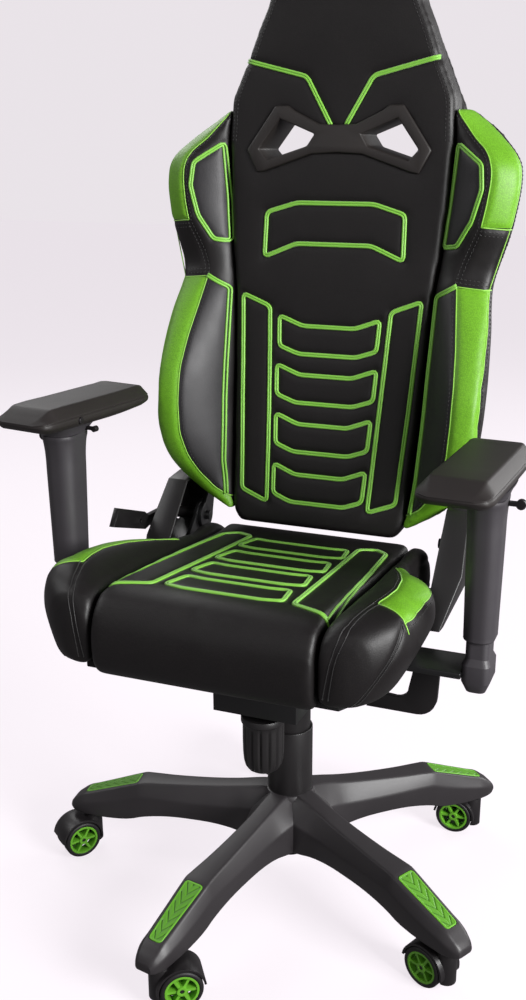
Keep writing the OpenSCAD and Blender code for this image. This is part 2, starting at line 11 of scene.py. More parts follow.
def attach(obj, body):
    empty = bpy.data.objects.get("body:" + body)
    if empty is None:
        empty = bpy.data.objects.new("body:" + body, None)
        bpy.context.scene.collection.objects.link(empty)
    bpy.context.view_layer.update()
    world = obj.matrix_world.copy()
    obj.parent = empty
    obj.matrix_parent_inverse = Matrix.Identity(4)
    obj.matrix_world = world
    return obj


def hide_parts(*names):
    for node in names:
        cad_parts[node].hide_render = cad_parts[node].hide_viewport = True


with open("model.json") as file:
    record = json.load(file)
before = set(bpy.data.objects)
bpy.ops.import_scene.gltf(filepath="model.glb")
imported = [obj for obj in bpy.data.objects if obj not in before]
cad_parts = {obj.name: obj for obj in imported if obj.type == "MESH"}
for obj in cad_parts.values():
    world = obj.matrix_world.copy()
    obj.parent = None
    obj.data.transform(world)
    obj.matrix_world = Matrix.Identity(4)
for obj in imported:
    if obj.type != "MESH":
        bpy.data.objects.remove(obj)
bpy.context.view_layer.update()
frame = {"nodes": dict(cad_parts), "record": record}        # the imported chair, in metres: floor at 0, +Z up, the sitter faces -Y
cadNodes = frame["nodes"]
slotOf = {part["node"]: part["material_slot"] for part in frame["record"]["subparts"]}
bodyOf = {node: body for body, nodes in frame["record"]["behaviour"]["bodies"].items() for node in nodes}
mm = 0.001


# ---- camera, standing in front and a little to the +X side ----

shot = {
    "place": (0.5033, -1.3326, 1.0292),
    "azimuth": 20.3,         # degrees round from straight in front
    "down": 17.2,            # degrees below the horizon
    "roll": 0.32,
    "lens": 40.11,
    "shift": (-0.0355, -0.0022),
}


def placeCamera():
    camera = bpy.data.objects.new("camera", bpy.data.cameras.new("camera"))
    bpy.context.scene.collection.objects.link(camera)
    turn, down = math.radians(shot["azimuth"]), math.radians(shot["down"])
    back = Vector((math.sin(turn) * math.cos(down), -math.cos(turn) * math.cos(down), math.sin(down)))
    camera.rotation_mode = "QUATERNION"
    camera.rotation_quaternion = ((-back).to_track_quat("-Z", "Y")
                                  @ Quaternion((0, 0, 1), math.radians(shot["roll"])))
    camera.location = shot["place"]
    camera.data.lens = shot["lens"]
    camera.data.sensor_width = 36
    camera.data.shift_x, camera.data.shift_y = shot["shift"]
    bpy.context.scene.camera = camera


placeCamera()


# ---- small helpers ----

def hexColor(code):      # an sRGB hex value as linear light
    parts = [int(code[i:i + 2], 16) / 255 for i in (1, 3, 5)]
    return tuple(p / 12.92 if p <= 0.04045 else ((p + 0.055) / 1.055) ** 2.4 for p in parts) + (1,)


def addNode(tree, kind, inputs=None, **settings):
    node = tree.nodes.new(kind)
    for key, value in settings.items():
        setattr(node, key, value)
    for key, value in (inputs or {}).items():
        if isinstance(value, bpy.types.NodeSocket):
            tree.links.new(value, node.inputs[key])
        else:
            node.inputs[key].default_value = value
    return node


def toMesh(piece):       # the piece's own mesh becomes what its modifiers make of it
    bpy.context.view_layer.update()
    graph = bpy.context.evaluated_depsgraph_get()
    mesh = bpy.data.meshes.new_from_object(piece.evaluated_get(graph))
    piece.modifiers.clear()
    piece.data = mesh


def makePiece(name, bm, material, sharp=None):
    mesh = bpy.data.meshes.new(name)
    bm.to_mesh(mesh)
    bm.free()
    mesh.materials.append(material)
    mesh.shade_smooth()
    if sharp:
        mesh.set_sharp_from_angle(angle=math.radians(sharp))
    piece = bpy.data.objects.new(name, mesh)
    bpy.context.scene.collection.objects.link(piece)
    return piece


def settle(piece, body, slot, *replaced):
    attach(piece, body)
    if replaced:
        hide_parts(*replaced)
    return piece


def mirrored(points):    # an outline's other half, met at the middle plane
    return list(points) + [(-x, z) for x, z in reversed(points)]


# ---- materials ----

def startMaterial(name, color, roughness, **sockets):
    material = bpy.data.materials.new(name)
    material.use_nodes = True
    tree = material.node_tree
    shader = tree.nodes["Principled BSDF"]
    shader.inputs["Base Color"].default_value = hexColor(color)
    shader.inputs["Roughness"].default_value = roughness
    for key, value in sockets.items():
        shader.inputs[key.replace("_", " ")].default_value = value
    place = addNode(tree, "ShaderNodeTexCoord").outputs["Object"]
    return material, tree, shader, place


def addBump(tree, shader, height, depth, strength=1.0, normal=None):
    inputs = {"Height": height, "Distance": depth, "Strength": strength}
    if normal:
        inputs["Normal"] = normal
    bump = addNode(tree, "ShaderNodeBump", inputs)
    tree.links.new(bump.outputs["Normal"], shader.inputs["Normal"])
    return bump.outputs["Normal"]


def spread(tree, value, low, high):      # a pattern's 0 to 1 as low to high
    return addNode(tree, "ShaderNodeMapRange",
                   {"Value": value, "To Min": low, "To Max": high}).outputs["Result"]


def mixColors(tree, share, first, second, **settings):
    mix = addNode(tree, "ShaderNodeMix", {"Factor": share}, data_type="RGBA", **settings)
    for socket, value in ((mix.inputs[6], first), (mix.inputs[7], second)):
        if isinstance(value, bpy.types.NodeSocket):
            tree.links.new(value, socket)
        else:
            socket.default_value = value
    return mix.outputs[2]


leather = {
    "black": "#151213", "blackWorn": "#1b1818",
    "lime": "#7cbe2d", "limeDeep": "#70b226",
    # painted light: a lighter grey for the inner wing panels, standing in for the key lamp falling on them
    "grey": "#2b292c",
    "grain": 2.1,            # millimetres across a hide cell, drawn twice as coarse so that it shows
    "pore": 0.55,
    "crease": 34,
    "valley": "#d6d6d6",     # painted shade: how far the grain's valleys darken the colour
    "zoneEdge": 0.25,        # millimetres over which a zone's colour changes at its seam, for the lime dye and for the painted-light grey alike
}


def limeLeatherette():
    # Polyurethane leatherette: a satin skin, embossed with a hide grain and rolled on a knitted back,
    # gives broad soft highlights that break up on the grain.
    material, tree, shader, place = startMaterial("embossed_pu_leatherette", leather["black"], 0.46,
                                                  IOR=1.48, Specular_IOR_Level=0.42)
    drift = addNode(tree, "ShaderNodeTexNoise", {"Vector": place, "Scale": 260, "Detail": 2})
    warped = addNode(tree, "ShaderNodeVectorMath", {0: drift.outputs["Color"], 1: (0.0012,) * 3},
                     operation="MULTIPLY")
    moved = addNode(tree, "ShaderNodeVectorMath", {0: place, 1: warped.outputs[0]}, operation="ADD")
    cells = addNode(tree, "ShaderNodeTexVoronoi", {"Vector": moved.outputs[0],
                    "Scale": 1 / (leather["grain"] * mm)}, feature="DISTANCE_TO_EDGE")
    valley = addNode(tree, "ShaderNodeMapRange", {"Value": cells.outputs["Distance"], "From Max": 0.28},
                     interpolation_type="SMOOTHSTEP").outputs["Result"]
    pores = addNode(tree, "ShaderNodeTexNoise", {"Vector": place, "Scale": 1 / (leather["pore"] * mm),
                    "Detail": 3, "Roughness": 0.6}).outputs["Fac"]
    creases = addNode(tree, "ShaderNodeTexNoise", {"Vector": place, "Scale": 1 / (leather["crease"] * mm),
                      "Detail": 4, "Roughness": 0.55}).outputs["Fac"]
    base = mixColors(tree, creases, hexColor(leather["black"]), hexColor(leather["blackWorn"]))
    green = mixColors(tree, creases, hexColor(leather["limeDeep"]), hexColor(leather["lime"]))
    # each zone blends in its colour: the lime panels their real dye, the inner wing panels a lighter grey
    # that is painted light
    for zone, dyeOrPaintedLight in (("paintedLightGreyZone", hexColor(leather["grey"])), ("limeZone", green)):
        inside = addNode(tree, "ShaderNodeAttribute", attribute_name=zone).outputs["Fac"]
        share = addNode(tree, "ShaderNodeMapRange", {"Value": inside, "From Max": leather["zoneEdge"] * mm})
        base = mixColors(tree, share.outputs["Result"], base, dyeOrPaintedLight)
    # painted shade: the grain's valleys multiply the leatherette's colour darker
    shade = mixColors(tree, valley, hexColor(leather["valley"]), hexColor("#ffffff"))
    tree.links.new(mixColors(tree, 1.0, base, shade, blend_type="MULTIPLY"), shader.inputs["Base Color"])
    tree.links.new(spread(tree, creases, 0.4, 0.54), shader.inputs["Roughness"])
    fine = addBump(tree, shader, pores, 0.04 * mm, 0.4)
    grained = addBump(tree, shader, valley, 0.08 * mm, 0.4, fine)
    addBump(tree, shader, creases, 1.2 * mm, 0.25, grained)
    return material


threads = {"piping": "#86cb45", "pipingPale": "#98d75b", "pipingRibShade": "#71b637", "lime": "#8fce45",
           "black": "#131112"}


def braidedPiping():
    # Polyester rayon piping cord: twisted glossy strands give a pale lime line with a fine slanting rib.
    material, tree, shader, place = startMaterial("twisted_polyester_piping", threads["piping"], 0.42,
                                                  Sheen_Weight=0.25, Sheen_Roughness=0.4, IOR=1.55)
    rib = addNode(tree, "ShaderNodeTexWave", {"Vector": place, "Scale": 1 / (6.2 * 0.7 * mm),
                  "Distortion": 0.6, "Detail": 1}, wave_type="BANDS", bands_direction="DIAGONAL")
    tint = addNode(tree, "ShaderNodeTexNoise", {"Vector": place, "Scale": 42, "Detail": 2}).outputs["Fac"]
    pale = mixColors(tree, tint, hexColor(threads["piping"]), hexColor(threads["pipingPale"]))
    # painted shade: the rib's low bands, between the twisted strands, are painted darker
    tree.links.new(mixColors(tree, rib.outputs["Fac"], hexColor(threads["pipingRibShade"]), pale),
                   shader.inputs["Base Color"])
    addBump(tree, shader, rib.outputs["Fac"], 0.12 * mm, 0.4)
    return material


def sewingThread(name, color):
    # Bonded polyester thread: three plies, a slight shine along the twist.
    material, tree, shader, place = startMaterial(name, color, 0.5, Sheen_Weight=0.2, IOR=1.55)
    ply = addNode(tree, "ShaderNodeTexWave", {"Vector": place, "Scale": 1 / (6.2 * 0.8 * mm),
                  "Distortion": 0.8}, wave_type="BANDS", bands_direction="DIAGONAL").outputs["Fac"]
    addBump(tree, shader, ply, 0.1 * mm, 0.5)
    return material


grooveLime = "#2c5a14"       # dirt and painted shade in the cut grooves of the tread pads

# One row for each moulded plastic or rubber: colour, tone it drifts to, roughness, grain size and
# depth in millimetres, and index of refraction.
plastics = {
    "glass_filled_nylon": ("#282527", "#312e30", 0.44, 0.9, 0.06, 1.53),     # base arms, glass-hazed satin
    "lime_polypropylene": ("#5fa326", "#6cb032", 0.4, 0.8, 0.03, 1.49),      # pads and caster discs
    "caster_nylon": ("#171516", "#1e1b1d", 0.38, 0.7, 0.03, 1.53),           # hoods, nearly black
    "tread_polyurethane": ("#121011", "#181617", 0.55, 1.2, 0.05, 1.5),      # soft tyres
    "spark_textured_abs": ("#363337", "#403d41", 0.47, 0.7, 0.07, 1.54),     # arm posts and sleeves
    "cover_abs": ("#191718", "#211f20", 0.4, 0.7, 0.05, 1.54),               # recliner and column covers
    "leather_grained_abs": ("#1c1817", "#25201e", 0.5, 1.3, 0.1, 1.54),      # surround of the belt holes
    "lever_acetal": ("#171516", "#1e1c1d", 0.33, 0.6, 0.02, 1.48),           # levers, smooth
    "button_acetal": ("#1d1b1c", "#252224", 0.3, 0.6, 0.02, 1.48),           # round buttons
    "integral_skin_foam": ("#1f1b1a", "#282322", 0.52, 0.75, 0.05, 1.5),     # arm pads, soft satin skin
    "dust_cloth": ("#161516", "#201f20", 0.9, 1.6, 0.2, 1.45),               # felted polypropylene
}


def moulded(name):
    color, drifted, roughness, grain, depth, ior = plastics[name]
    material, tree, shader, place = startMaterial(name, color, roughness, IOR=ior)
    flow = addNode(tree, "ShaderNodeTexNoise", {"Vector": place, "Scale": 22, "Detail": 3}).outputs["Fac"]
    spark = addNode(tree, "ShaderNodeTexNoise", {"Vector": place, "Scale": 1 / (grain * mm),
                    "Detail": 2, "Roughness": 0.7}).outputs["Fac"]
    tone = mixColors(tree, flow, hexColor(color), hexColor(drifted))
    if name == "lime_polypropylene":
        # painted shade, with dirt, darkens the tread pads' grooves and their recessed field
        groove = addNode(tree, "ShaderNodeAttribute", attribute_name="groove").outputs["Fac"]
        tone = mixColors(tree, groove, tone, hexColor(grooveLime))
    tree.links.new(tone, shader.inputs["Base Color"])
    tree.links.new(spread(tree, spark, roughness - 0.07, roughness + 0.09), shader.inputs["Roughness"])
    addBump(tree, shader, spark, depth * mm, 0.6)
    return material


def powderCoat():
    # Polyester powder coat baked on steel: orange-peel waviness under a half gloss.
    material, tree, shader, place = startMaterial("black_powder_coat", "#151516", 0.36, IOR=1.5)
    peel = addNode(tree, "ShaderNodeTexNoise", {"Vector": place, "Scale": 1 / (2.2 * mm), "Detail": 1})
    tree.links.new(spread(tree, peel.outputs["Fac"], 0.3, 0.44), shader.inputs["Roughness"])
    addBump(tree, shader, peel.outputs["Fac"], 0.08 * mm, 0.7)
    return material


def machinedSteel(name, color, roughness, line):
    # Bare steel: turned, ground or zinc plated, so its gloss is drawn out along fine tool lines.
    material, tree, shader, place = startMaterial(name, color, roughness, Metallic=1.0)
    stretched = addNode(tree, "ShaderNodeMapping", {"Vector": place, "Scale": (1, 1, 14)})
    lines = addNode(tree, "ShaderNodeTexNoise", {"Vector": stretched.outputs[0],
                    "Scale": 1 / (line * mm), "Detail": 3}).outputs["Fac"]
    tree.links.new(spread(tree, lines, roughness - 0.05, roughness + 0.1), shader.inputs["Roughness"])
    addBump(tree, shader, lines, 0.02 * mm, 0.4)
    return material


skins = {name: moulded(name) for name in plastics}
skins["leatherette"] = limeLeatherette()
skins["piping"] = braidedPiping()
skins["blackThread"] = sewingThread("black_bonded_thread", threads["black"])
skins["limeThread"] = sewingThread("lime_bonded_thread", threads["lime"])
skins["powderCoat"] = powderCoat()
skins["groundChrome"] = machinedSteel("ground_chrome", "#c8c8cc", 0.12, 0.5)
skins["zincSteel"] = machinedSteel("zinc_plated_steel", "#8f9094", 0.34, 0.7)
print("materials ready:", len(skins))


# ---- floor and light: a pale studio, brighter from the +X side ----

studio = {
    "floor": "#8f8c8f", "glow": "#f1eaf0", "glowPower": 0.86,
    "sky": "#f1ebf0", "skyPower": 0.2, "seenPower": 0.93,
    "lamps": [                # name, place, size, watts
        ("key", (3.1, -1.2, 1.7), 1.4, 190),
        ("front", (-0.7, -3.0, 2.4), 2.4, 9),
        ("rim", (-2.0, 1.9, 2.5), 1.5, 24),
        ("back", (2.3, 2.6, 1.5), 1.8, 60),
        ("left", (-2.5, -0.5, 2.5), 1.4, 20),
    ],
    "aim": (0, 0, 0.65),
}


def makeStudio():
    bm = bmesh.new()
    bmesh.ops.create_grid(bm, x_segments=1, y_segments=1, size=14)
    material, tree, shader, place = startMaterial("pale_studio_floor", studio["floor"], 0.6,
                                                  Emission_Color=hexColor(studio["glow"]),
                                                  Emission_Strength=studio["glowPower"],
                                                  Specular_IOR_Level=0.1)
    fleck = addNode(tree, "ShaderNodeTexNoise", {"Vector": place, "Scale": 90, "Detail": 2})
    tree.links.new(spread(tree, fleck.outputs["Fac"], 0.55, 0.7), shader.inputs["Roughness"])
    floor = makePiece("studioFloor", bm, material)
    floor.visible_diffuse = floor.visible_glossy = False
    world = bpy.data.worlds.new("studio")
    world.use_nodes = True
    sky = world.node_tree.nodes["Background"]
    sky.inputs["Color"].default_value = hexColor(studio["sky"])
    seen = addNode(world.node_tree, "ShaderNodeLightPath").outputs["Is Camera Ray"]
    power = spread(world.node_tree, seen, studio["skyPower"], studio["seenPower"])
    world.node_tree.links.new(power, sky.inputs["Strength"])
    bpy.context.scene.world = world
    for name, where, size, watts in studio["lamps"]:
        lamp = bpy.data.objects.new(name, bpy.data.lights.new(name, "AREA"))
        lamp.data.size, lamp.data.energy = size, watts
        lamp.location = where
        lamp.rotation_mode = "QUATERNION"
        lamp.rotation_quaternion = (Vector(studio["aim"]) - Vector(where)).to_track_quat("-Z", "Y")
        lamp.visible_camera = False
        bpy.context.scene.collection.objects.link(lamp)
    bpy.context.scene.view_settings.view_transform = "Standard"


makeStudio()
print("studio ready")


# ---- hard parts that keep their designed shape, with their edges broken ----

# node: (finish, edge radius in mm)
edged = {
    "gas_cylinder": ("powderCoat", 0.8), "cover_lower": ("cover_abs", 0.8),
    "cover_upper": ("cover_abs", 0.8), "piston_rod": ("groundChrome", 0.6),
    "tilt_housing": ("powderCoat", 2.5), "tilt_pin": ("zincSteel", 0.8),
    "tension_spring": ("zincSteel", 0.6), "tension_knob": ("cover_abs", 0.9),
    "tilt_lever": ("lever_acetal", 1.8), "lift_lever": ("lever_acetal", 1.8),
    "seat_plate": ("powderCoat", 1.2), "seat_board": ("dust_cloth", 1.2),
    "seat_frame": ("powderCoat", 0.3), "seat_bolts": ("zincSteel", 0.5),
    "arm_brackets": ("powderCoat", 1.6), "arm_posts": ("spark_textured_abs", 1.6),
    "recliner_brackets": ("powderCoat", 1.0), "recliner_cover_left": ("cover_abs", 1.6),
    "recliner_cover_right": ("cover_abs", 1.6), "recline_lever": ("lever_acetal", 1.4),
    "back_frame": ("powderCoat", 0.8), "belt_bezel": ("leather_grained_abs", 2.2),
    "star_base": ("glass_filled_nylon", 2.0), "base_pads": ("lime_polypropylene", 0.8),
}
for side in ("left", "right"):
    edged[f"arm_sleeve_{side}"] = ("spark_textured_abs", 1.2)
    edged[f"pad_carrier_{side}"] = ("spark_textured_abs", 1.2)
    edged[f"height_lever_{side}"] = ("lever_acetal", 0.8)
    edged[f"swivel_lever_{side}"] = ("button_acetal", 0.7)
    edged[f"arm_pad_{side}"] = ("integral_skin_foam", 3.0)
    edged[f"slide_button_{side}"] = ("button_acetal", 0.6)
for number in range(1, 6):
    edged[f"caster_fork_{number}"] = ("caster_nylon", 0.9)
    edged[f"caster_tyres_{number}"] = ("tread_polyurethane", 1.2)
    edged[f"caster_hubs_{number}"] = ("lime_polypropylene", 0.6)


def camelName(node):
    first, *rest = node.split("_")
    return first + "".join(word.capitalize() for word in rest)


def cleanCopy(node):     # a node's own surface, welded, with its flat faces whole again
    bm = bmesh.new()
    bm.from_mesh(cadNodes[node].data)
    bmesh.ops.remove_doubles(bm, verts=bm.verts, dist=0.01 * mm)
    bmesh.ops.dissolve_limit(bm, angle_limit=math.radians(1.5), verts=bm.verts, edges=bm.edges)
    return bm


def breakEdges(bm, width, angle=28, segments=2):
    sharp = [e for e in bm.edges if len(e.link_faces) == 2 and e.calc_face_angle(0) > math.radians(angle)]
    bmesh.ops.bevel(bm, geom=sharp, offset=width, offset_type="OFFSET", segments=segments,
                    profile=0.5, affect="EDGES", clamp_overlap=True, material=-1)
    bmesh.ops.dissolve_degenerate(bm, dist=0.002 * mm, edges=bm.edges)
    bmesh.ops.triangulate(bm, faces=[f for f in bm.faces if len(f.verts) > 4])


def edgedCopy(node):
    finish, width = edged[node]
    bm = cleanCopy(node)
    breakEdges(bm, width * mm)
    piece = makePiece(camelName(node), bm, skins[finish], sharp=42)
    return settle(piece, bodyOf[node], slotOf[node], node)


remade = set()           # nodes that have a finer piece of their own further down


# ---- padding: outlines, skinned forms, swelling, seams, cords and stitches ----

backLine = {"from": 0.5, "foot": 0.088, "lean": 0.2244, "bow": 0.129}      # the backrest's front face


def backAt(z):
    high = z - backLine["from"]
    return backLine["foot"] + backLine["lean"] * high - backLine["bow"] * high ** 2


def leanBack(piece):     # back pieces are shaped flat, then laid on the curve of the backrest
    for v in piece.data.vertices:
        v.co.y += backAt(v.co.z)
    piece.data.update()


def easedPath(points, radius, closed, step):     # corners rounded, then points at an even spacing
    points = [Vector(p) for p in points]
    count = len(points)
    dense = []
    for i, corner in enumerate(points):
        if not closed and i in (0, count - 1):
            dense.append(corner)
            continue
        before, after = points[i - 1], points[(i + 1) % count]
        reach = min(radius, (before - corner).length * 0.45, (after - corner).length * 0.45)
        enter = corner + (before - corner).normalized() * reach
        leave = corner + (after - corner).normalized() * reach
        for k in range(7):
            t = k / 6
            dense.append(enter * (1 - t) ** 2 + corner * 2 * t * (1 - t) + leave * t ** 2)
    if closed:
        dense.append(dense[0])
    lengths = np.cumsum([0] + [(b - a).length for a, b in zip(dense, dense[1:])])
    number = max(3, round(lengths[-1] / step))
    spots = np.linspace(0, lengths[-1], number + 1)[:number if closed else number + 1]
    table = np.array(dense)
    return [Vector([np.interp(s, lengths, table[:, axis]) for axis in range(table.shape[1])])
            for s in spots]


def smoothBetween(stations, values, at):         # a curve through the key values, one column each
    stations, values = np.array(stations, float), np.array(values, float)
    slopes = np.gradient(values, stations, axis=0)
    low = np.clip(np.searchsorted(stations, at) - 1, 0, len(stations) - 2)
    span = stations[low + 1] - stations[low]
    t = ((at - stations[low]) / span)[:, None]
    span = span[:, None]
    return ((1 + 2 * t) * (1 - t) ** 2 * values[low] + t * (1 - t) ** 2 * span * slopes[low]
            + t ** 2 * (3 - 2 * t) * values[low + 1] + t ** 2 * (t - 1) * span * slopes[low + 1])


def evenRing(corners, form):     # a closed section with eased corners, as even points in x and depth
    length = sum((Vector(a) - Vector(b)).length for a, b in zip(corners, corners[1:] + corners[:1]))
    table = np.array(easedPath(corners, form["edge"], True, length / form["points"]))
    closed = np.vstack([table, table[:1]])
    return [[np.interp(turn, range(len(closed)), column) for column in closed.T]
            for turn in np.linspace(0, len(table), form["points"], endpoint=False)]


def skinRings(rings):    # equal closed rings, skinned from first to last and capped
    across, along = len(rings[0]), len(rings) - 1
    bm = bmesh.new()
    bmesh.ops.create_grid(bm, x_segments=across, y_segments=along, size=1)
    for v in bm.verts:
        column = round((v.co.x + 1) / 2 * across) % across
        v.co = rings[round((v.co.y + 1) / 2 * along)][column]
    bmesh.ops.remove_doubles(bm, verts=bm.verts, dist=0.01 * mm)
    bmesh.ops.holes_fill(bm, edges=[e for e in bm.edges if e.is_boundary], sides=0)
    bmesh.ops.recalc_face_normals(bm, faces=bm.faces)
    return bm


def slab(points, axis, low, high, edge=0):       # an outline thickened along one axis, its rim rounded
    bm = bmesh.new()
    face = bm.faces.new([bm.verts.new(p) for p in points])
    grown = bmesh.ops.extrude_face_region(bm, geom=[face])
    shift = Vector((0, 0, 0))
    shift[axis] = high - low
    bmesh.ops.translate(bm, verts=[v for v in grown["geom"] if isinstance(v, bmesh.types.BMVert)],
                        vec=shift)
    bmesh.ops.recalc_face_normals(bm, faces=bm.faces)
    if edge:
        rim = [e for e in bm.edges if e.calc_face_angle(0) > 0.8
               and abs((e.verts[0].co - e.verts[1].co)[axis]) < 1e-6]
        bmesh.ops.bevel(bm, geom=rim, offset=edge * mm, offset_type="OFFSET", segments=4, profile=0.5,
                        affect="EDGES", clamp_overlap=True)
    return bm


def cutAway(piece, bm, operation="DIFFERENCE"):
    cutter = makePiece("cutter", bm, piece.data.materials[0])
    cut = piece.modifiers.new("cut", "BOOLEAN")
    cut.operation, cut.solver, cut.object = operation, "EXACT", cutter
    toMesh(piece)
    bpy.data.objects.remove(cutter)


def roundedRing(corners, reach, arcs=4):         # the same number of points at every corner
    ring = []
    for i, corner in enumerate(corners):
        before, after = corners[i - 1] - corner, corners[(i + 1) % len(corners)] - corner
        enter = corner + before.normalized() * min(reach, before.length * 0.45)
        leave = corner + after.normalized() * min(reach, after.length * 0.45)
        for k in range(arcs):
            t = k / (arcs - 1)
            ring.append(enter * (1 - t) ** 2 + corner * 2 * t * (1 - t) + leave * t ** 2)
    return ring


def loft(rows, cornersOf, placeOf, reach, parts=3):      # a form drawn through its listed sections, in mm
    rows = np.array(rows, float)
    at = np.unique(np.concatenate([np.linspace(a, b, parts + 1)
                                   for a, b in zip(rows[:-1, 0], rows[1:, 0])]))
    return skinRings([[Vector(placeOf(s, p)) * mm
                       for p in roundedRing([Vector(c) for c in cornersOf(row)], reach)]
                      for s, row in zip(at, smoothBetween(rows[:, 0], rows[:, 1:], at))])


def turnedForm(profile, ribs=0, rib=None, points=72):    # radius and height in mm, round the z axis
    rings = []
    for radius, z in profile:
        ring = []
        for a in np.linspace(0, 2 * math.pi, points, endpoint=False):
            r = radius - (rib(z) * max(0, math.cos(a * ribs)) ** 2 if ribs else 0)
            ring.append(Vector((r * math.cos(a), r * math.sin(a), z)) * mm)
        rings.append(ring)
    return skinRings(rings)


def relax(piece, rounds):
    bm = bmesh.new()
    bm.from_mesh(piece.data)
    for _ in range(rounds):
        bmesh.ops.smooth_vert(bm, verts=bm.verts, factor=0.5, use_axis_x=True, use_axis_y=True,
                              use_axis_z=True)
    bm.to_mesh(piece.data)
    bm.free()


def places(piece):
    spots = np.zeros(len(piece.data.vertices) * 3, np.float32)
    piece.data.vertices.foreach_get("co", spots)
    return spots.reshape(-1, 3).astype(float)


def facings(piece):
    directions = np.zeros(len(piece.data.vertices) * 3, np.float32)
    piece.data.vertex_normals.foreach_get("vector", directions)
    return directions.reshape(-1, 3).astype(float)


def moveTo(piece, spots):
    piece.data.vertices.foreach_set("co", spots.astype(np.float32).ravel())
    piece.data.update()


def swell(piece, voxel, pressure, most, held):
    # Remesh, then cloth under air pressure: held(spots) says how firmly each point stays, 0 to 1,
    # and no point moves further than most.
    even = piece.modifiers.new("even", "REMESH")
    even.mode, even.voxel_size = "VOXEL", voxel * mm
    toMesh(piece)
    relax(piece, 3)
    start = places(piece)
    group = piece.vertex_groups.new(name="held")
    for index, weight in enumerate(held(start)):
        if weight > 0.01:
            group.add([index], float(weight), "REPLACE")
    cloth = piece.modifiers.new("Cloth", "CLOTH")
    cloth.settings.quality = 4
    cloth.settings.use_pressure = True
    cloth.settings.uniform_pressure_force = pressure
    cloth.settings.effector_weights.gravity = 0
    cloth.settings.vertex_group_mass = "held"
    cloth.point_cache.frame_start, cloth.point_cache.frame_end = 1, 20
    for number in range(1, 21):
        bpy.context.scene.frame_set(number)
    toMesh(piece)
    bpy.context.scene.frame_set(1)
    travel = places(piece) - start
    far = np.linalg.norm(travel, axis=1, keepdims=True)
    moveTo(piece, start + travel * np.minimum(1, most * mm / np.maximum(far, 1e-9)))
    piece.vertex_groups.clear()
    relax(piece, 1)
    finer = piece.modifiers.new("finer", "SUBSURF")
    finer.levels = finer.render_levels = 1
    toMesh(piece)
    piece.data.shade_smooth()


def lineDistance(spots, lines, axes=(0, 2)):     # how far each point lies from the nearest line
    flat = spots[:, list(axes)]
    nearest = np.full(len(flat), 1e9)
    for line in lines:
        line = np.array([[p[0], p[1]] for p in line])
        for a, b in zip(line, line[1:]):
            along = b - a
            share = np.clip(((flat - a) @ along) / max(along @ along, 1e-12), 0, 1)
            nearest = np.minimum(nearest, np.linalg.norm(flat - a - share[:, None] * along, axis=1))
    return nearest


def fadeFrom(spots, lines, width, axes=(0, 2)):  # 1 on a line, falling away over a width in mm
    return np.exp(-(lineDistance(spots, lines, axes) / (width * mm)) ** 2)


def insideBy(spots, outline, axes=(0, 2)):       # distance to an outline's edge, positive inside
    flat = spots[:, list(axes)]
    loop = list(outline) + [outline[0]]
    odd = np.zeros(len(flat), bool)
    for (x0, z0), (x1, z1) in zip(loop, loop[1:]):
        if z0 != z1:
            crosses = (flat[:, 1] < z0) != (flat[:, 1] < z1)
            odd ^= crosses & (flat[:, 0] < x0 + (flat[:, 1] - z0) * (x1 - x0) / (z1 - z0))
    return lineDistance(spots, [loop], axes) * np.where(odd, 1, -1)


def pressSeams(piece, lines, depth, width, facing, axes=(0, 2)):      # sinks the skin along its seams
    spots, normals = places(piece), facings(piece)
    sunk = fadeFrom(spots, lines, width, axes) * depth * mm
    sunk *= np.clip(normals @ np.array(facing), 0, 1) ** 0.5
    moveTo(piece, spots - normals * sunk[:, None])


def paintZone(piece, name, amount):
    layer = piece.data.attributes.get(name) or piece.data.attributes.new(name, "FLOAT", "POINT")
    layer.data.foreach_set("value", amount.astype(np.float32))


def skinTree(piece):
    bm = bmesh.new()
    bm.from_mesh(piece.data)
    tree = BVHTree.FromBMesh(bm)
    bm.free()
    return tree


def layOn(tree, route, start, way):      # a flat route dropped on the skin: places and facings
    laid = []
    for point in route:
        hit, normal, _, _ = tree.ray_cast(start(point), Vector(way), 1.0)
        if hit is not None:
            laid.append((hit, normal))
    return laid


def sideLine(tree, spots):       # a line at each y and z, met from the +X side
    laid = []
    for y, z in spots:
        hit, normal, _, _ = tree.ray_cast(Vector((0.5, y, z)), Vector((-1, 0, 0)), 1.0)
        if hit is not None:
            laid.append((hit, normal))
    return laid


def fromFront(point):
    return Vector((point[0], -0.35, point[1]))


def fromAbove(point):
    return Vector((point[0], point[1], 0.9))


def addCords(name, routes, radius, lift, material):      # routes: laid points, and whether closed
    curve = bpy.data.curves.new(name, "CURVE")
    curve.dimensions = "3D"
    curve.bevel_depth, curve.bevel_resolution, curve.use_fill_caps = radius * mm, 2, True
    for laid, closed in routes:
        spline = curve.splines.new("POLY")
        spline.points.add(len(laid) - 1)
        for point, (hit, normal) in zip(spline.points, laid):
            point.co = (*(hit + normal * lift * mm), 1)
        spline.use_cyclic_u = closed
    cord = bpy.data.objects.new(name, curve)
    bpy.context.scene.collection.objects.link(cord)
    bpy.context.view_layer.update()
    mesh = bpy.data.meshes.new_from_object(cord.evaluated_get(bpy.context.evaluated_depsgraph_get()))
    bpy.data.objects.remove(cord)
    bm = bmesh.new()
    bm.from_mesh(mesh)
    bmesh.ops.remove_doubles(bm, verts=bm.verts, dist=0.005 * mm)
    bmesh.ops.recalc_face_normals(bm, faces=bm.faces)
    return makePiece(name, bm, material)


stitch = {"pitch": 5.2, "length": 3.7, "thick": 0.55}       # a coarse topstitch, in mm


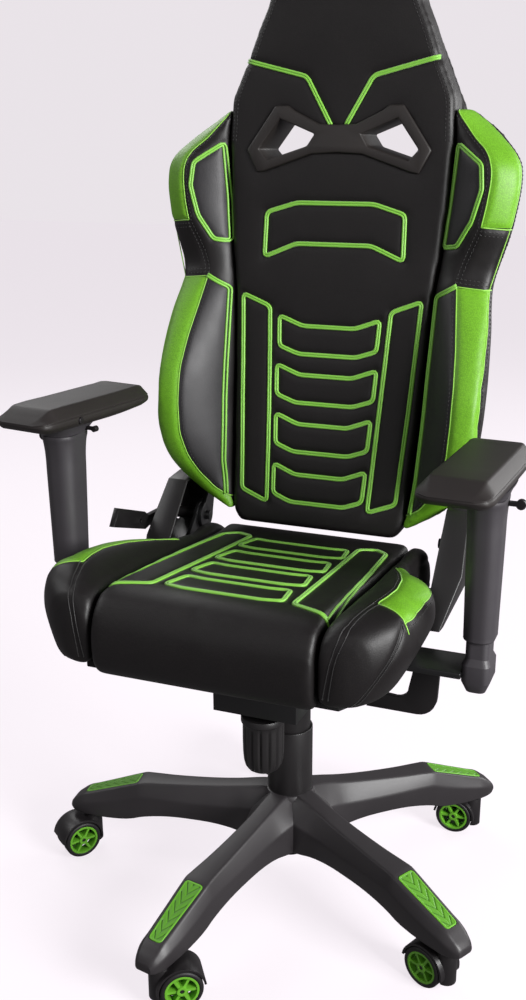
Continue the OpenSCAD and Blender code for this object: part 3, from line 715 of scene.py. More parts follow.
def addStitches(name, routes, material):         # one small rounded bar for each stitch
    bm = bmesh.new()
    for laid, closed in routes:
        for (hit, normal), (ahead, _) in zip(laid, laid[1:]):
            along = (ahead - hit).normalized()
            side = normal.cross(along).normalized()
            up = along.cross(side)
            frameOf = Matrix((along, side, up)).transposed().to_4x4()
            size = Matrix.Diagonal((stitch["length"] / 2 * mm, stitch["thick"] * mm,
                                    stitch["thick"] * mm, 1))
            bmesh.ops.create_icosphere(bm, subdivisions=1, radius=1, matrix=Matrix.Translation(
                hit + normal * 0.25 * mm) @ frameOf @ size)
    return makePiece(name, bm, material)


# ---- backrest ----

# Half outlines in x and z, in mm, on the +X side. The other half mirrors them.
back = {
    "panel": [(118, 512), (130, 531), (145, 843), (153, 909), (161, 1046), (159, 1100), (136, 1151),
              (121, 1190), (106, 1223), (102, 1249), (92, 1269), (76, 1280), (50, 1283)],
    "beltCut": [(6, 1062), (27, 1063), (64, 1080), (74, 1086), (89, 1086), (127, 1033), (113, 1008),
                (104, 1009), (37, 1032), (6, 1034)],
    "shell": [(116, 541), (160, 562), (200, 610), (214, 682), (212, 780), (206, 870), (226, 934),
              (236, 1010), (214, 1058), (168, 1078), (140, 1140), (104, 1220), (96, 1247), (80, 1262),
              (50, 1268)],
    "thick": 56, "shellThick": 14,
    "chestPiping": [(100, 950), (56, 963), (-56, 963), (-100, 950), (-101, 889), (-55, 908), (55, 908),
                    (101, 889)],
    "rungTops": [809, 741, 672, 601],    # height of each rung's upper corners
    "rungHalf": [74, 74, 71, 69],
    "barPiping": [(89, 821), (131, 837), (124, 690), (116, 561), (76, 546), (82, 680)],
    "browPiping": [(137, 1150), (47, 1128), (11, 1066)],
    "cord": 1.75, "cordGap": 3.3, "corner": 7,
}


def rungOutline(top, half):      # a shallow tray: corners up, a low middle and a bowed foot
    kink = half * 0.52
    return ([(half, top), (kink, top - 13), (-kink, top - 13), (-half, top)]
            + [(-half + 2, top - 42), (-kink - 4, top - 52), (kink + 4, top - 52), (half - 2, top - 42)])


def scaled(points):
    return [(x * mm, z * mm) for x, z in points]


def flipped(points):
    return [(-x, z) for x, z in points]


def offsetRoute(points, by, closed=False):       # a route moved sideways in its own plane
    turned, last = [], len(points) - 1
    for i, point in enumerate(points):
        before, after = (i - 1, (i + 1) % len(points)) if closed else (max(i - 1, 0), min(i + 1, last))
        along = (points[after] - points[before]).normalized()
        turned.append(point + Vector((-along.y, along.x)) * by)
    return turned


def pipeAlong(tree, outlines, closed, start, way, corner=None):      # twin cords either side of a seam
    routes = []
    for outline in outlines:
        middle = easedPath(outline, (corner or back["corner"]) * mm, closed, 3 * mm)
        for side in (-0.5, 0.5):
            shifted = offsetRoute(middle, side * back["cordGap"] * mm, closed)
            routes.append((layOn(tree, shifted, start, way), closed))
    return routes


def makeBackPanel():
    bm = slab([(x * mm, 0, z * mm) for x, z in mirrored(back["panel"])], 1, 0, back["thick"] * mm, 8)
    panel = makePiece("backPanelCover", bm, skins["leatherette"])
    cutAway(panel, slab([(x * mm, -0.01, z * mm) for x, z in mirrored(back["beltCut"])], 1, -0.01,
                        (back["thick"] + 10) * mm))
    loops = [scaled(back["chestPiping"])]
    loops += [scaled(rungOutline(top, half)) for top, half in zip(back["rungTops"], back["rungHalf"])]
    loops += [scaled(back["barPiping"]), scaled(flipped(back["barPiping"]))]
    brows = [scaled(back["browPiping"]), scaled(flipped(back["browPiping"]))]
    seams = [loop + [loop[0]] for loop in loops] + brows
    edge = scaled(mirrored(back["panel"]))
    belt = scaled(mirrored(back["beltCut"]))

    def held(spots):
        deep = np.clip((spots[:, 1] - 6 * mm) / (8 * mm), 0, 1)
        sewn = fadeFrom(spots, seams, 7)
        rim = fadeFrom(spots, [belt + [belt[0]], edge + [edge[0]]], 9)
        return np.maximum(np.maximum(deep, sewn), rim)

    swell(panel, 5, 5.0, 6, held)
    pressSeams(panel, seams, 2.2, 5.5, (0, -1, 0))
    tree = skinTree(panel)
    cords = pipeAlong(tree, loops, True, fromFront, (0, 1, 0))
    cords += pipeAlong(tree, brows, False, fromFront, (0, 1, 0))
    piping = addCords("backPiping", cords, back["cord"], 0.9, skins["piping"])
    rows = []
    for outline in (back["panel"][4:12], flipped(back["panel"][4:12])):
        for inset in (7, 12):
            inner = [(x - math.copysign(inset, x), z) for x, z in outline]
            route = easedPath(scaled(inner), 12 * mm, False, stitch["pitch"] * mm)
            rows.append((layOn(tree, route, fromFront, (0, 1, 0)), False))
    stitches = addStitches("backPanelStitches", rows, skins["blackThread"])
    for piece in (panel, piping, stitches):
        leanBack(piece)
    settle(panel, "backrest", "black_leatherette", "back_cushion", "headrest")
    settle(piping, "backrest", "green_plastic")
    settle(stitches, "backrest", "black_leatherette")
    remade.update(("back_cushion", "headrest"))


# Wing sections up the +X side, in mm: height, seam with the middle panel, inner crest and how far it
# stands forward of the panel, outer crest and its stand, then the outermost point of the side.
wing = {
    "rows": [
        (527, 127, 129, 1, 131, 0, 132), (545, 132, 141, -7, 162, -5, 167),
        (565, 134, 161, -18, 188, -14, 192),
        (600, 136, 182, -43, 214, -39, 218), (645, 139, 193, -61, 229, -57, 232),
        (690, 141, 197, -68, 232, -64, 236), (737, 142, 197, -66, 232, -62, 236),
        (781, 144, 193, -52, 230, -48, 235), (826, 146, 187, -33, 226, -28, 231),
        (856, 148, 182, -20, 222, -11, 227), (876, 151, 184, -14, 225, -4, 230),
        (903, 154, 193, -17, 233, -5, 238), (938, 157, 208, -28, 244, -9, 248),
        (965, 160, 214, -31, 249, -10, 252), (992, 161, 218, -31, 252, -9, 255),
        (1024, 162, 212, -27, 245, -4, 249), (1047, 162, 192, -12, 222, 10, 228),
        (1066, 161, 176, -4, 199, 24, 206), (1086, 159, 162, 6, 174, 34, 179)],
    "backX": [(527, 126), (562, 158), (610, 198), (682, 212), (780, 211), (870, 205), (934, 224),
              (1010, 233), (1058, 211), (1078, 168), (1086, 160)],
    "points": 72, "steps": 70, "edge": 13, "sideBand": 9,
    "limeHigh": [(160, 1090), (164, 1080), (191, 1048), (206, 1035), (214, 1023), (218, 1008),
                 (218, 992), (214, 962), (209, 938)],
    "limeLow": [(181, 860), (186, 826), (193, 781), (197, 737), (197, 690), (194, 645), (185, 612),
                (171, 584), (154, 562), (131, 546)],
    "waistSeam": [(209, 938), (201, 920), (190, 895), (183, 874), (181, 861)],
    "topHem": [(147, 843), (181, 861)],
    "innerPiping": [(181, 862), (152, 845), (149, 690), (145, 600), (139, 552)],
    "shoulderPiping": [(168, 1042), (204, 1016), (207, 985), (196, 945), (176, 912), (156, 909)],
}


def wingShape(heights):
    rows = np.array(wing["rows"], float)
    shape = smoothBetween(rows[:, 0], rows[:, 1:], heights)
    depth = np.array(wing["backX"], float)
    return shape, np.interp(heights, depth[:, 0], depth[:, 1])


def makeWing():
    heights = np.linspace(wing["rows"][0][0], wing["rows"][-1][0], wing["steps"])
    rings = []
    for z, row, backX in zip(heights, *wingShape(heights)):
        seam, innerX, inner, outerX, outer, sideX = row
        deep = back["thick"]
        corners = [(seam - 2, deep), (seam - 1, 3), (seam + (innerX - seam) * 0.5, inner * 0.56 - 1),
                   (innerX, inner), (outerX, outer), (sideX, outer + 16),
                   ((sideX + backX) / 2 + 1, (outer + deep) / 2 + 8), (max(backX, seam + 1), deep)]
        rings.append([Vector((x * mm, f * mm, z * mm)) for x, f in evenRing(corners, wing)])
    piece = makePiece("backWingCoverRight", skinRings(rings), skins["leatherette"])
    seams = [scaled(wing[name]) for name in ("limeHigh", "limeLow", "waistSeam", "topHem",
                                             "innerPiping")]
    seams += [scaled([(209, 938), (262, 933)]), scaled([(181, 860), (262, 856)])]
    shoulder = scaled(wing["shoulderPiping"])
    seams.append(shoulder + [shoulder[0]])

    def held(spots):
        deep = np.clip((spots[:, 1] - 20 * mm) / (14 * mm), 0, 1)
        sewn = fadeFrom(spots, seams, 6) * 0.9
        against = np.clip((np.interp(spots[:, 2], *np.array(wing["rows"])[:, :2].T * mm) + 4 * mm
                           - spots[:, 0]) / (4 * mm), 0, 1)
        return np.maximum(np.maximum(deep, sewn), against)

    swell(piece, 5, 5.0, 6, held)
    spots = places(piece)
    rows = np.array(wing["rows"], float) * mm
    bandEnd = np.interp(spots[:, 2], rows[:, 0], rows[:, 5]) + wing["sideBand"] * mm
    front = bandEnd - spots[:, 1]
    high = insideBy(spots, scaled(wing["limeHigh"] + [(300, 934), (300, 1110), (160, 1110)]))
    low = insideBy(spots, scaled(wing["limeLow"] + [(110, 546), (110, 480), (300, 480), (300, 856)]))
    sunk = np.exp(-(front / (4 * mm)) ** 2) * 1.4 * mm * (spots[:, 0] > rows.min())
    sunk *= np.clip(facings(piece)[:, 0], 0, 1) * (spots[:, 0] > 0.15)
    moveTo(piece, spots - facings(piece) * sunk[:, None])
    paintZone(piece, "limeZone", np.maximum(np.minimum(high, front), np.minimum(low, front)))
    # painted light: the inner wing panels are marked for a lighter grey that stands in for the key lamp's
    # light on them
    panel = scaled(wing["limeLow"] + wing["innerPiping"][::-1])
    paintZone(piece, "paintedLightGreyZone", np.maximum(insideBy(spots, shoulder), insideBy(spots, panel)))
    pressSeams(piece, seams, 1.6, 4.5, (0.2, -1, 0))
    return piece, shoulder


def mirrorPiece(piece, name):
    bm = bmesh.new()
    bm.from_mesh(piece.data)
    bmesh.ops.scale(bm, vec=(-1, 1, 1), verts=bm.verts)
    bmesh.ops.reverse_faces(bm, faces=bm.faces)
    return makePiece(name, bm, piece.data.materials[0])


def bothSides(routes):
    other = [([(Vector((-h.x, h.y, h.z)), Vector((-n.x, n.y, n.z))) for h, n in laid], closed)
             for laid, closed in routes]
    return routes + other


def makeWings():
    right, shoulder = makeWing()
    tree = skinTree(right)
    piping = pipeAlong(tree, [shoulder], True, fromFront, (0, 1, 0), 5)
    piping += pipeAlong(tree, [scaled(wing["innerPiping"])], False, fromFront, (0, 1, 0), 5)

    def row(points, corner, step):       # an open line laid on from the front
        route = easedPath(scaled(points), corner * mm, False, step * mm)
        return layOn(tree, route, fromFront, (0, 1, 0)), False

    edges, seams, pitch = [], [], stitch["pitch"]
    for name in ("limeHigh", "limeLow"):
        edges.append(row(wing[name], 8, 3))
        seams.append(row([(x - 5, z) for x, z in wing[name]], 8, pitch))
    for line, away in (([(209, 938), (250, 934)], -5), ([(181, 861), (230, 856)], 5)):
        edges.append(row(line, 4, 3))
        seams += [row([(x, z + extra) for x, z in line], 4, pitch) for extra in (away, away * 2)]
    seams += [row([(x + aside, z) for x, z in wing["waistSeam"]], 8, pitch) for aside in (-3, 3)]
    rows = np.array(wing["rows"], float) * mm
    for aside, target, step in ((0, edges, 3), (6, seams, pitch)):
        stops = [z for z in np.arange(0.556, 1.076, step * mm) if aside or not 0.862 < z < 0.93]
        band = np.interp(stops, rows[:, 0], rows[:, 5]) + (wing["sideBand"] + aside) * mm
        target.append((sideLine(tree, zip(band, stops)), False))
    left = mirrorPiece(right, "backWingCoverLeft")
    pieces = [right, left,
              addCords("wingPiping", bothSides(piping), back["cord"], 0.9, skins["piping"]),
              addCords("wingEdgeThread", bothSides(edges), 0.8, 0.2, skins["limeThread"]),
              addStitches("wingStitches", bothSides(seams), skins["blackThread"])]
    for piece in pieces:
        leanBack(piece)
    settle(right, "backrest", "wing_leatherette", "back_wing_right")
    settle(left, "backrest", "wing_leatherette", "back_wing_left")
    for piece in pieces[2:]:
        settle(piece, "backrest", "wing_leatherette")
    remade.update(("back_wing_right", "back_wing_left"))


def makeRearCover():
    deep = back["thick"] + 1
    bm = slab([(x * mm, deep * mm, z * mm) for x, z in mirrored(back["shell"])], 1, 0,
              back["shellThick"] * mm, 6)
    cover = makePiece("backRearCover", bm, skins["leatherette"])
    cutAway(cover, slab([(x * mm, 0, z * mm) for x, z in mirrored(back["beltCut"])], 1, 0, 0.1))
    ribs = [scaled([(x, 575), (x * 1.12, 760), (x, 985)]) for x in (-70, 70)]
    ribs.append(scaled([(-150, 1108), (0, 1122), (150, 1108)]))
    edge = scaled(mirrored(back["shell"]))

    def held(spots):
        inner = np.clip((back["thick"] + 9 - spots[:, 1] / mm) / 6, 0, 1)
        rim = fadeFrom(spots, [edge + [edge[0]]], 10)
        return np.maximum(np.maximum(inner, fadeFrom(spots, ribs, 7)), rim)

    swell(cover, 5, 4.0, 5, held)
    pressSeams(cover, ribs, 2.0, 5, (0, 1, 0))
    tree = skinTree(cover)
    rows = []
    for line in ribs:
        for aside in (-3.5, 3.5):
            route = offsetRoute(easedPath(line, 30 * mm, False, stitch["pitch"] * mm), aside * mm)
            rows.append((layOn(tree, route, lambda p: Vector((p[0], 0.4, p[1])), (0, -1, 0)), False))
    stitches = addStitches("rearCoverStitches", rows, skins["blackThread"])
    leanBack(cover)
    leanBack(stitches)
    settle(cover, "backrest", "black_leatherette", "rear_shell")
    settle(stitches, "backrest", "black_leatherette")
    remade.add("rear_shell")


makeBackPanel()
makeWings()
makeRearCover()
print("backrest ready")


# ---- seat ----

seat = {
    "half": 139,             # to the seam with each bolster
    "side": [(110, 449), (113, 498), (101, 507), (72, 506), (-60, 520), (-246, 541), (-280, 537),
             (-299, 514), (-305, 480), (-300, 450), (-289, 437), (-272, 437), (-270, 449)],      # y and z
    "barPiping": [(90, -231), (138, -250), (129, -60), (121, 46), (103, 62), (80, 51)],
    "rungFronts": [-6, -82, -154, -226], "rungDeep": 46, "rungHalf": 75,
}

# Bolster sections from the front back, on the +X side, in mm: y, height of the inner seam, inner
# crest, outer crest, fullest point of the side, foot of the side.
bolster = {
    "rows": [
        (-298, 506, 150, 508, 166, 505, 173, 482, 168, 456),
        (-291, 523, 160, 529, 184, 522, 193, 492, 182, 450),
        (-275, 535, 171, 543, 204, 535, 214, 500, 195, 447),
        (-255, 538, 181, 550, 220, 543, 229, 506, 203, 445),
        (-235, 537, 187, 553, 227, 548, 236, 509, 207, 444),
        (-200, 533, 190, 552, 228, 546, 238, 508, 208, 444),
        (-160, 529, 191, 549, 227, 542, 237, 504, 207, 445),
        (-120, 524, 187, 543, 224, 536, 233, 498, 205, 446),
        (-85, 520, 180, 536, 213, 529, 222, 492, 200, 447),
        (-50, 516, 168, 528, 187, 520, 196, 486, 190, 448),
        (-20, 512, 158, 521, 171, 515, 178, 482, 177, 449),
        (20, 508, 154, 514, 168, 508, 174, 480, 174, 449),
        (100, 499, 152, 503, 166, 498, 171, 474, 171, 449),
        (111, 492, 150, 495, 162, 490, 167, 472, 166, 451)],
    "seamX": 140.5, "bottom": 448, "points": 64, "steps": 64, "edge": 16, "band": 9,
    "limeInner": [(229, -241), (187, -224), (192, -196), (194, -165), (187, -118), (173, -72), (155, -28)],
    "frontSeam": [(187, -224, 554), (172, -272, 540), (160, -294, 510), (152, -298, 460)],
    "sideSeam": [(228, -242, 547), (222, -260, 520), (206, -280, 484), (184, -292, 450)],
}


def rungOnSeat(front):
    half, deep = seat["rungHalf"], seat["rungDeep"]
    return [(half, front), (half - 24, front - 6), (24 - half, front - 6), (-half, front),
            (7 - half, front + deep), (30 - half, front + deep - 4), (half - 30, front + deep - 4),
            (half - 7, front + deep)]


def makeSeatCushion():
    half = seat["half"] * mm
    outline = easedPath([(y * mm, z * mm) for y, z in seat["side"]], 14 * mm, True, 6 * mm)
    bm = slab([(-half, p.x, p.y) for p in outline], 0, -half, half, 9)
    cushion = makePiece("seatCushionCover", bm, skins["leatherette"])
    loops = [scaled(rungOnSeat(front)) for front in seat["rungFronts"]]
    loops += [scaled(seat["barPiping"]), scaled(flipped(seat["barPiping"]))]
    seams = [loop + [loop[0]] for loop in loops]

    def held(spots):
        low = np.clip((462 * mm - spots[:, 2]) / (10 * mm), 0, 1)
        rear = np.clip((spots[:, 1] - 92 * mm) / (14 * mm), 0, 1)
        rim = np.exp(-((half - np.abs(spots[:, 0])) / (8 * mm)) ** 2)
        sewn = fadeFrom(spots, seams, 7, (0, 1)) * (spots[:, 1] < 0.08) * (spots[:, 2] > 0.5)
        return np.maximum(np.maximum(low, rear), np.maximum(rim, sewn))

    swell(cushion, 5, 5.0, 8, held)
    pressSeams(cushion, seams, 2.2, 5.5, (0, 0, 1), (0, 1))
    tree = skinTree(cushion)
    piping = addCords("seatPiping", pipeAlong(tree, loops, True, fromAbove, (0, 0, -1)),
                      back["cord"], 0.9, skins["piping"])
    settle(cushion, "seat", "black_leatherette", "seat_cushion")
    settle(piping, "seat", "green_plastic")
    remade.add("seat_cushion")


def snapped(tree, route):        # a route in space, brought to the nearest skin
    laid = []
    for point in route:
        hit, normal, _, _ = tree.find_nearest(point)
        laid.append((hit, normal))
    return laid


def makeBolsters():
    rows = np.array(bolster["rows"], float)
    along = np.linspace(rows[0, 0], rows[-1, 0], bolster["steps"])
    rings = []
    for y, row in zip(along, smoothBetween(rows[:, 0], rows[:, 1:], along)):
        seamZ, innerX, innerZ, outerX, outerZ, sideX, sideZ, footX, footZ = row
        seamX = bolster["seamX"]
        corners = [(seamX, bolster["bottom"]), (seamX, seamZ - 5),
                   (seamX + (innerX - seamX) * 0.5, seamZ + (innerZ - seamZ) * 0.62),
                   (innerX, innerZ), (outerX, outerZ), (sideX, sideZ), (footX, footZ)]
        rings.append([Vector((x * mm, y * mm, z * mm)) for x, z in evenRing(corners, bolster)])
    right = makePiece("seatBolsterCoverRight", skinRings(rings), skins["leatherette"])
    front = [Vector(p) * mm for p in bolster["frontSeam"]]
    side = [Vector(p) * mm for p in bolster["sideSeam"]]

    def held(spots):
        low = np.clip((464 * mm - spots[:, 2]) / (10 * mm), 0, 1)
        against = np.clip((146 * mm - spots[:, 0]) / (4 * mm), 0, 1)
        rear = np.clip((spots[:, 1] + 20 * mm) / (40 * mm), 0, 1)
        return np.maximum(np.maximum(low, against), rear)

    swell(right, 5, 5.0, 6, held)
    spots = places(right)
    crest = np.interp(spots[:, 1], rows[:, 0] * mm, rows[:, 5] * mm) - bolster["band"] * mm
    above = spots[:, 2] - crest
    patch = insideBy(spots, scaled(bolster["limeInner"] + [(320, -28), (320, -280)]), (0, 1))
    paintZone(right, "limeZone", np.minimum(patch, above))
    normals = facings(right)
    sunk = np.exp(-(above / (4 * mm)) ** 2) * 1.3 * mm * (spots[:, 1] > -0.245) \
        * np.clip(normals[:, 0], 0, 1)
    sunk += fadeFrom(spots, [scaled(bolster["limeInner"])], 4.5, (0, 1)) * 1.4 * mm \
        * np.clip(normals[:, 2], 0, 1) ** 0.5
    for seam in (front, side):
        near = np.min([np.linalg.norm(spots - np.array(a + (b - a) * t), axis=1)
                       for a, b in zip(seam, seam[1:]) for t in np.linspace(0, 1, 24)], axis=0)
        sunk += np.exp(-(near / (4.5 * mm)) ** 2) * 1.6 * mm
    moveTo(right, spots - normals * sunk[:, None])
    tree = skinTree(right)

    def topRow(points, step):        # a line on the top
        route = easedPath(scaled(points), 6 * mm, False, step * mm)
        return layOn(tree, route, fromAbove, (0, 0, -1)), False

    def sideRow(stops, below):       # a line round the side, this far below the crest's band
        crests = np.interp(stops, rows[:, 0] * mm, rows[:, 5] * mm) - (bolster["band"] + below) * mm
        return sideLine(tree, zip(stops, crests)), False

    def seamRows(step):              # a line either side of both corner seams
        return [(snapped(tree, [p + Vector((aside * mm, 0, 0))
                                for p in easedPath(seam, 14 * mm, False, step * mm)]), False)
                for seam in (front, side) for aside in (-3.2, 3.2)]

    pitch = stitch["pitch"]
    edges = [topRow(bolster["limeInner"], 3), sideRow(np.arange(-0.238, -0.05, 3 * mm), 0)]
    stitched = seamRows(pitch) + [topRow([(x - 4.5, y) for x, y in bolster["limeInner"][1:]], pitch),
                                  sideRow(np.arange(-0.236, 0.0, pitch * mm), 5)]
    left = mirrorPiece(right, "seatBolsterCoverLeft")
    lines = addCords("bolsterSeamThread", bothSides(seamRows(3)), 0.6, 0.15, skins["blackThread"])
    thread = addCords("bolsterEdgeThread", bothSides(edges), 0.8, 0.2, skins["limeThread"])
    stitches = addStitches("bolsterStitches", bothSides(stitched), skins["blackThread"])
    settle(right, "seat", "wing_leatherette", "seat_bolster_right")
    settle(left, "seat", "wing_leatherette", "seat_bolster_left")
    for piece in (lines, thread, stitches):
        settle(piece, "seat", "wing_leatherette")
    remade.update(("seat_bolster_right", "seat_bolster_left"))


makeSeatCushion()
makeBolsters()
print("seat ready")


# ---- star base, its tread pads, and the tension knob ----

star = {
    "turn": -29.1,           # degrees to the first arm, then every 72
    # distance out, top, half width of the top, ridge, half width there, underside, half width there
    "rows": [
        (14, 153, 13, 128, 40, 78, 40), (40, 152, 12.5, 127, 38, 78, 38),
        (56, 149.5, 12.3, 124, 35, 79, 35),
        (75, 146, 12.2, 119, 30, 81, 28.5), (105, 141.5, 12.6, 115, 27, 83.5, 24.5),
        (145, 137, 13.6, 112.5, 25.8, 84, 23), (185, 133.5, 15.2, 112, 25.4, 82, 22.4),
        (216, 131.6, 17, 111.5, 25.2, 77, 22.2), (228, 130.2, 18, 110.5, 25.2, 74, 22.2),
        (238, 126.8, 17.8, 107, 25.1, 70.5, 22.2), (270, 115.2, 16.4, 97, 24.6, 65.5, 21.6),
        (305, 102.6, 14.8, 88.5, 23.4, 65, 20.6), (321, 96.9, 13.9, 85, 21.8, 65, 19.2),
        (330, 90.5, 12.8, 81, 19, 65.5, 17), (338, 84, 11, 77.5, 15, 67, 13.6),
        (341.5, 79.5, 9, 75.5, 12.4, 69, 11)],
    "bore": 25,              # the gas lift's hole through the hub
    "hub": [(36, 74), (37.5, 77), (37.5, 140), (36, 148), (34, 151.5), (31, 152.5)],
    "pad": {"from": 232, "to": 318, "inner": 14, "outer": 10, "round": 5, "slope": 0.3587, "stand": 1.1,
            "deep": 2.4, "rim": 2.2, "pitch": 13.5, "lean": 1.5},
}


def armTurn(number):
    return Matrix.Rotation(math.radians(star["turn"] + 72 * number), 4, "Z")


def padPoint(r, w, high):        # a place on the pad's sloping plane, in millimetres
    slope = star["pad"]["slope"]
    down = 130 - (r - 228) * slope
    lean = math.hypot(1, slope)
    return Vector((r + high * slope / lean, w, down + high / lean)) * mm


def padHalf(r, grow=0):          # half width of a pad at r, with its corners rounded
    pad = star["pad"]
    share = (r - pad["from"]) / (pad["to"] - pad["from"])
    half = pad["inner"] + (pad["outer"] - pad["inner"]) * share + grow
    near = min(r - pad["from"] + grow, pad["to"] + grow - r)
    if near < pad["round"]:
        half -= pad["round"] - math.sqrt(max(0, pad["round"] ** 2 - (pad["round"] - near) ** 2))
    return half


def padSlot():
    pad = star["pad"]
    stops = np.linspace(pad["from"] - 0.6, pad["to"] + 0.6, 60)
    side = [(r, padHalf(r, 0.6)) for r in stops]
    outline = side + [(r, -w) for r, w in reversed(side)]
    bm = bmesh.new()
    low = [bm.verts.new(padPoint(r, w, -pad["deep"] - 0.4)) for r, w in outline]
    high = [bm.verts.new(padPoint(r, w, 12)) for r, w in outline]
    bm.faces.new(low)
    bm.faces.new(high)
    for i in range(len(low)):
        j = (i + 1) % len(low)
        bm.faces.new((low[i], low[j], high[j], high[i]))
    bmesh.ops.recalc_face_normals(bm, faces=bm.faces)
    return bm


def treadPad(bm, turn):          # a raised rim round a field of chevrons that point outwards
    pad = star["pad"]
    groove = bm.verts.layers.float.get("groove") or bm.verts.layers.float.new("groove")
    along, across = 110, 30
    grid = []
    for i in range(along + 1):
        r = pad["from"] + (pad["to"] - pad["from"]) * i / along
        half = max(padHalf(r), 0.6)
        line = []
        for k in range(across + 1):
            w = (2 * k / across - 1) * half
            rim = min(half - abs(w), r - pad["from"], pad["to"] - r)
            cut = 0
            step = (r + abs(w) * pad["lean"]) % pad["pitch"] - pad["pitch"] / 2
            high = pad["stand"] - 0.55 * min(1, max(0, (rim - pad["rim"]) / 0.8))
            if rim > pad["rim"] + 0.6:
                cut = math.exp(-(step / 1.2) ** 2)
                high -= 1.1 * cut + 0.4 * math.exp(-(w / 0.8) ** 2)
            high -= 0.6 * max(0, 1 - rim / 0.8) ** 2
            line.append(bm.verts.new(turn @ padPoint(r, w, high)))
            # painted shade with dirt: full in the grooves, a little over the recessed field inside the rim,
            # which leaves the raised rim lighter
            line[-1][groove] = max(cut, 0.3) if rim > pad["rim"] else 0
        grid.append(line)
    for a, b in zip(grid, grid[1:]):
        for k in range(across):
            bm.faces.new((a[k], a[k + 1], b[k + 1], b[k]))
    ring = grid[0] + [row[-1] for row in grid[1:-1]] + grid[-1][::-1] + [row[0] for row in grid[-2:0:-1]]
    drop = turn.to_3x3() @ (padPoint(250, 0, -pad["deep"] - pad["stand"]) - padPoint(250, 0, 0))
    foot = [bm.verts.new(v.co + drop) for v in ring]
    for i in range(len(ring)):
        j = (i + 1) % len(ring)
        bm.faces.new((ring[i], ring[j], foot[j], foot[i]))
    bm.faces.new(foot)


def makeBase():
    def cornersOf(row):
        top, topHalf, ridge, ridgeHalf, under, underHalf = row
        return [(topHalf, top), (ridgeHalf, ridge), (underHalf, under), (-underHalf, under),
                (-ridgeHalf, ridge), (-topHalf, top)]

    base = makePiece("starBase", turnedForm(star["hub"]), skins["glass_filled_nylon"])
    for number in range(5):
        arm = loft(star["rows"], cornersOf, lambda r, p: (r, p.x, p.y), 3.2)
        bmesh.ops.transform(arm, matrix=armTurn(number), verts=arm.verts)
        cutAway(base, arm, "UNION")
    cutAway(base, turnedForm([(star["bore"], 60), (star["bore"], 170)]))
    for number in range(5):
        slot = padSlot()
        bmesh.ops.transform(slot, matrix=armTurn(number), verts=slot.verts)
        cutAway(base, slot)
    base.data.shade_smooth()
    base.data.set_sharp_from_angle(angle=math.radians(38))
    pads = bmesh.new()
    for number in range(5):
        treadPad(pads, armTurn(number))
    bmesh.ops.recalc_face_normals(pads, faces=pads.faces)
    settle(base, bodyOf["star_base"], slotOf["star_base"], "star_base")
    settle(makePiece("treadPads", pads, skins["lime_polypropylene"], sharp=50),
           bodyOf["base_pads"], slotOf["base_pads"], "base_pads")
    remade.update(("star_base", "base_pads"))


knob = {"y": -102, "ribs": 14, "depth": 2.6,
        "profile": [(2, 235), (11, 235.4), (17, 237), (21.5, 240), (24.6, 245), (26.4, 252), (27.4, 262),
                    (27.8, 280), (27.8, 300), (27.6, 306), (28.4, 308.5), (30, 309.5), (30, 316),
                    (29, 317.4), (14, 317.6), (6, 317.8), (5.2, 318.5), (5.2, 354), (2, 355)]}


def makeKnob():
    def depth(z):
        return knob["depth"] * max(0, min(1, (z - 238) / 10)) * max(0, min(1, (306 - z) / 6))

    bm = turnedForm(knob["profile"], knob["ribs"], depth, 168)
    bmesh.ops.translate(bm, verts=bm.verts, vec=(0, knob["y"] * mm, 0))
    settle(makePiece("tensionKnob", bm, skins["cover_abs"], sharp=44),
           bodyOf["tension_knob"], slotOf["tension_knob"], "tension_knob")
    remade.add("tension_knob")


makeBase()
makeKnob()
print("base ready")


# ---- armrests ----

rest = {
    "post": (282, -100), "under": 667.5,
    # front to back: y, half width and height of the underside, half width of the waist and its low
    # and high edge, half width and height of the top
    "padRows": [
        (-125, 19, 9, 26, 10.5, 11.5, 16, 13.2), (-122, 26, 5, 35, 8.5, 12.6, 22, 15.6),
        (-114, 33, 1.5, 42, 7, 13.4, 27.5, 20.4), (-104, 36.5, 0.2, 44, 6.4, 14, 30.4, 26),
        (-97, 37.5, 0, 44.3, 6.2, 14, 31.6, 29), (-90, 38, 0, 44.4, 6.2, 14, 32, 29.5),
        (-40, 38, 0, 44.4, 6.2, 14, 32, 29.5), (30, 38, 0, 44.4, 6.2, 14, 32, 29.5),
        (62, 37.4, 1.5, 44, 6.8, 14, 31.6, 29.5), (86, 36, 3.5, 42.6, 8, 14.4, 30.4, 29),
        (93, 33.5, 5, 40, 9, 14.6, 27, 26.8), (97.5, 28, 7, 35, 10, 14, 22, 23),
        (100, 20, 9.5, 27, 11, 13, 16, 17)],
    "sleeveRows": [
        (474, 17.8, 24), (475, 18.7, 24.9), (478, 19, 25), (492, 19.2, 25.3), (604, 20.9, 27.8),
        (622, 21.1, 28.2), (634, 21.6, 29.4), (643, 22.3, 31), (649, 23, 32.8), (652, 22.8, 32.6)],
    "carrierRows": [
        (652.3, 22.6, 32.4, 0), (655, 23.4, 34.4, -0.4), (659, 25, 38.5, -1.6), (663.5, 27.6, 44.5, -3),
        (667, 29, 48, -4)],
    "left": {"lift": 24, "turn": 9, "inward": 0, "back": 38},
    "right": {"lift": 0, "turn": -3, "inward": 12, "back": 0},
}


def armMatrix(side, turning, sliding):   # from the armrest's own place to the chair's, in metres
    pose = rest[side]
    place = Matrix.Translation((rest["post"][0] * mm, rest["post"][1] * mm, pose["lift"] * mm))
    if turning:
        place = place @ Matrix.Rotation(math.radians(pose["turn"]), 4, "Z")
    if sliding:
        place = place @ Matrix.Translation((-pose["inward"] * mm, pose["back"] * mm, 0))
    return Matrix.Scale(-1, 4, (1, 0, 0)) @ place if side == "left" else place


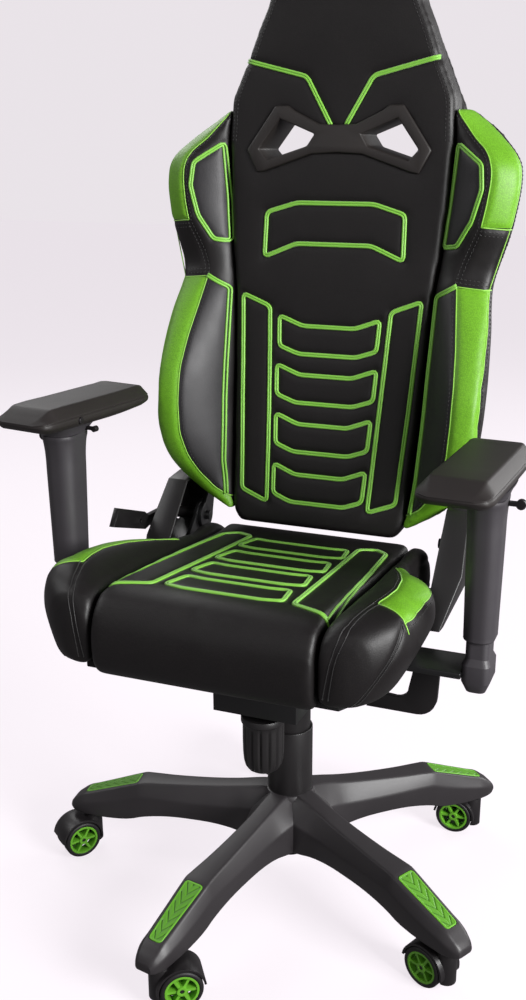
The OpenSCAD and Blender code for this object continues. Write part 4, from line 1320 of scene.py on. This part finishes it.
def block(low, high):            # a plain cutter box between two corners, in millimetres
    bm = bmesh.new()
    bmesh.ops.create_cube(bm, size=1)
    for v in bm.verts:
        v.co = Vector([(a + b) / 2 + c * (b - a) for a, b, c in zip(low, high, v.co)]) * mm
    return bm


def oval(halfX, halfY, shift=0, corner=0.5):     # a section with generously cut corners
    cut = halfX * corner
    half = [(halfX, shift - halfY + cut), (halfX, shift + halfY - cut), (halfX - cut, shift + halfY)]
    return half + [(cut - halfX, shift + halfY), (-halfX, shift + halfY - cut),
                   (-halfX, shift - halfY + cut), (cut - halfX, shift - halfY),
                   (halfX - cut, shift - halfY)]


def armPiece(node, bm, cuts, matrix, finish, sharp=40):
    piece = makePiece(camelName(node), bm, skins[finish])
    for cut in cuts:
        cutAway(piece, cut)
    bm = bmesh.new()
    bm.from_mesh(piece.data)
    bmesh.ops.transform(bm, matrix=matrix, verts=bm.verts)
    if matrix.determinant() < 0:
        bmesh.ops.reverse_faces(bm, faces=bm.faces)
    bpy.data.objects.remove(piece)
    piece = makePiece(camelName(node), bm, skins[finish], sharp=sharp)
    settle(piece, bodyOf[node], slotOf[node], node)
    remade.add(node)


def makeArmrest(side):
    def padCorners(row):
        low, under, waist, waistLow, waistHigh, top, high = row
        half = [(low, under), (waist, waistLow), (waist, waistHigh - 1), (waist - 1.3, waistHigh),
                (waist - 1.3, waistHigh + 0.8), (waist - 0.6, waistHigh + 1.6),
                (top, high)]
        return half + [(-x, z) for x, z in reversed(half)]

    pad = loft(rest["padRows"], padCorners, lambda y, p: (p.x, y, p.y + rest["under"]), 2.6)
    hole = turnedForm([(4.7, -6), (4.7, 6)], points=40)
    bmesh.ops.transform(hole, matrix=Matrix.Translation((-0.044, -0.056, (rest["under"] + 9) * mm))
                        @ Matrix.Rotation(math.radians(90), 4, "Y"), verts=hole.verts)
    armPiece(f"arm_pad_{side}", pad, [hole], armMatrix(side, True, True), "integral_skin_foam")
    sleeve = loft(rest["sleeveRows"], lambda row: oval(*row), lambda z, p: (p.x, p.y, z), 6)
    bore = loft([(470, 15, 21.5), (500, 15, 21.5), (641, 15, 21.5)],
                lambda row: oval(row[0], row[1], 0, 0.3), lambda z, p: (p.x, p.y, z), 4)
    armPiece(f"arm_sleeve_{side}", sleeve, [bore, block((12, 4, 639), (46, 13, 646))],
             armMatrix(side, False, False), "spark_textured_abs")
    carrier = loft(rest["carrierRows"], lambda row: oval(*row), lambda z, p: (p.x, p.y, z), 12)
    armPiece(f"pad_carrier_{side}", carrier, [block((-40, 14, 654), (-12, 23, 660))],
             armMatrix(side, True, False), "spark_textured_abs")


makeArmrest("left")
makeArmrest("right")
print("armrests ready")


for node in edged:
    if node not in remade:
        edgedCopy(node)
print("edges broken on", len(edged) - len(remade), "parts")
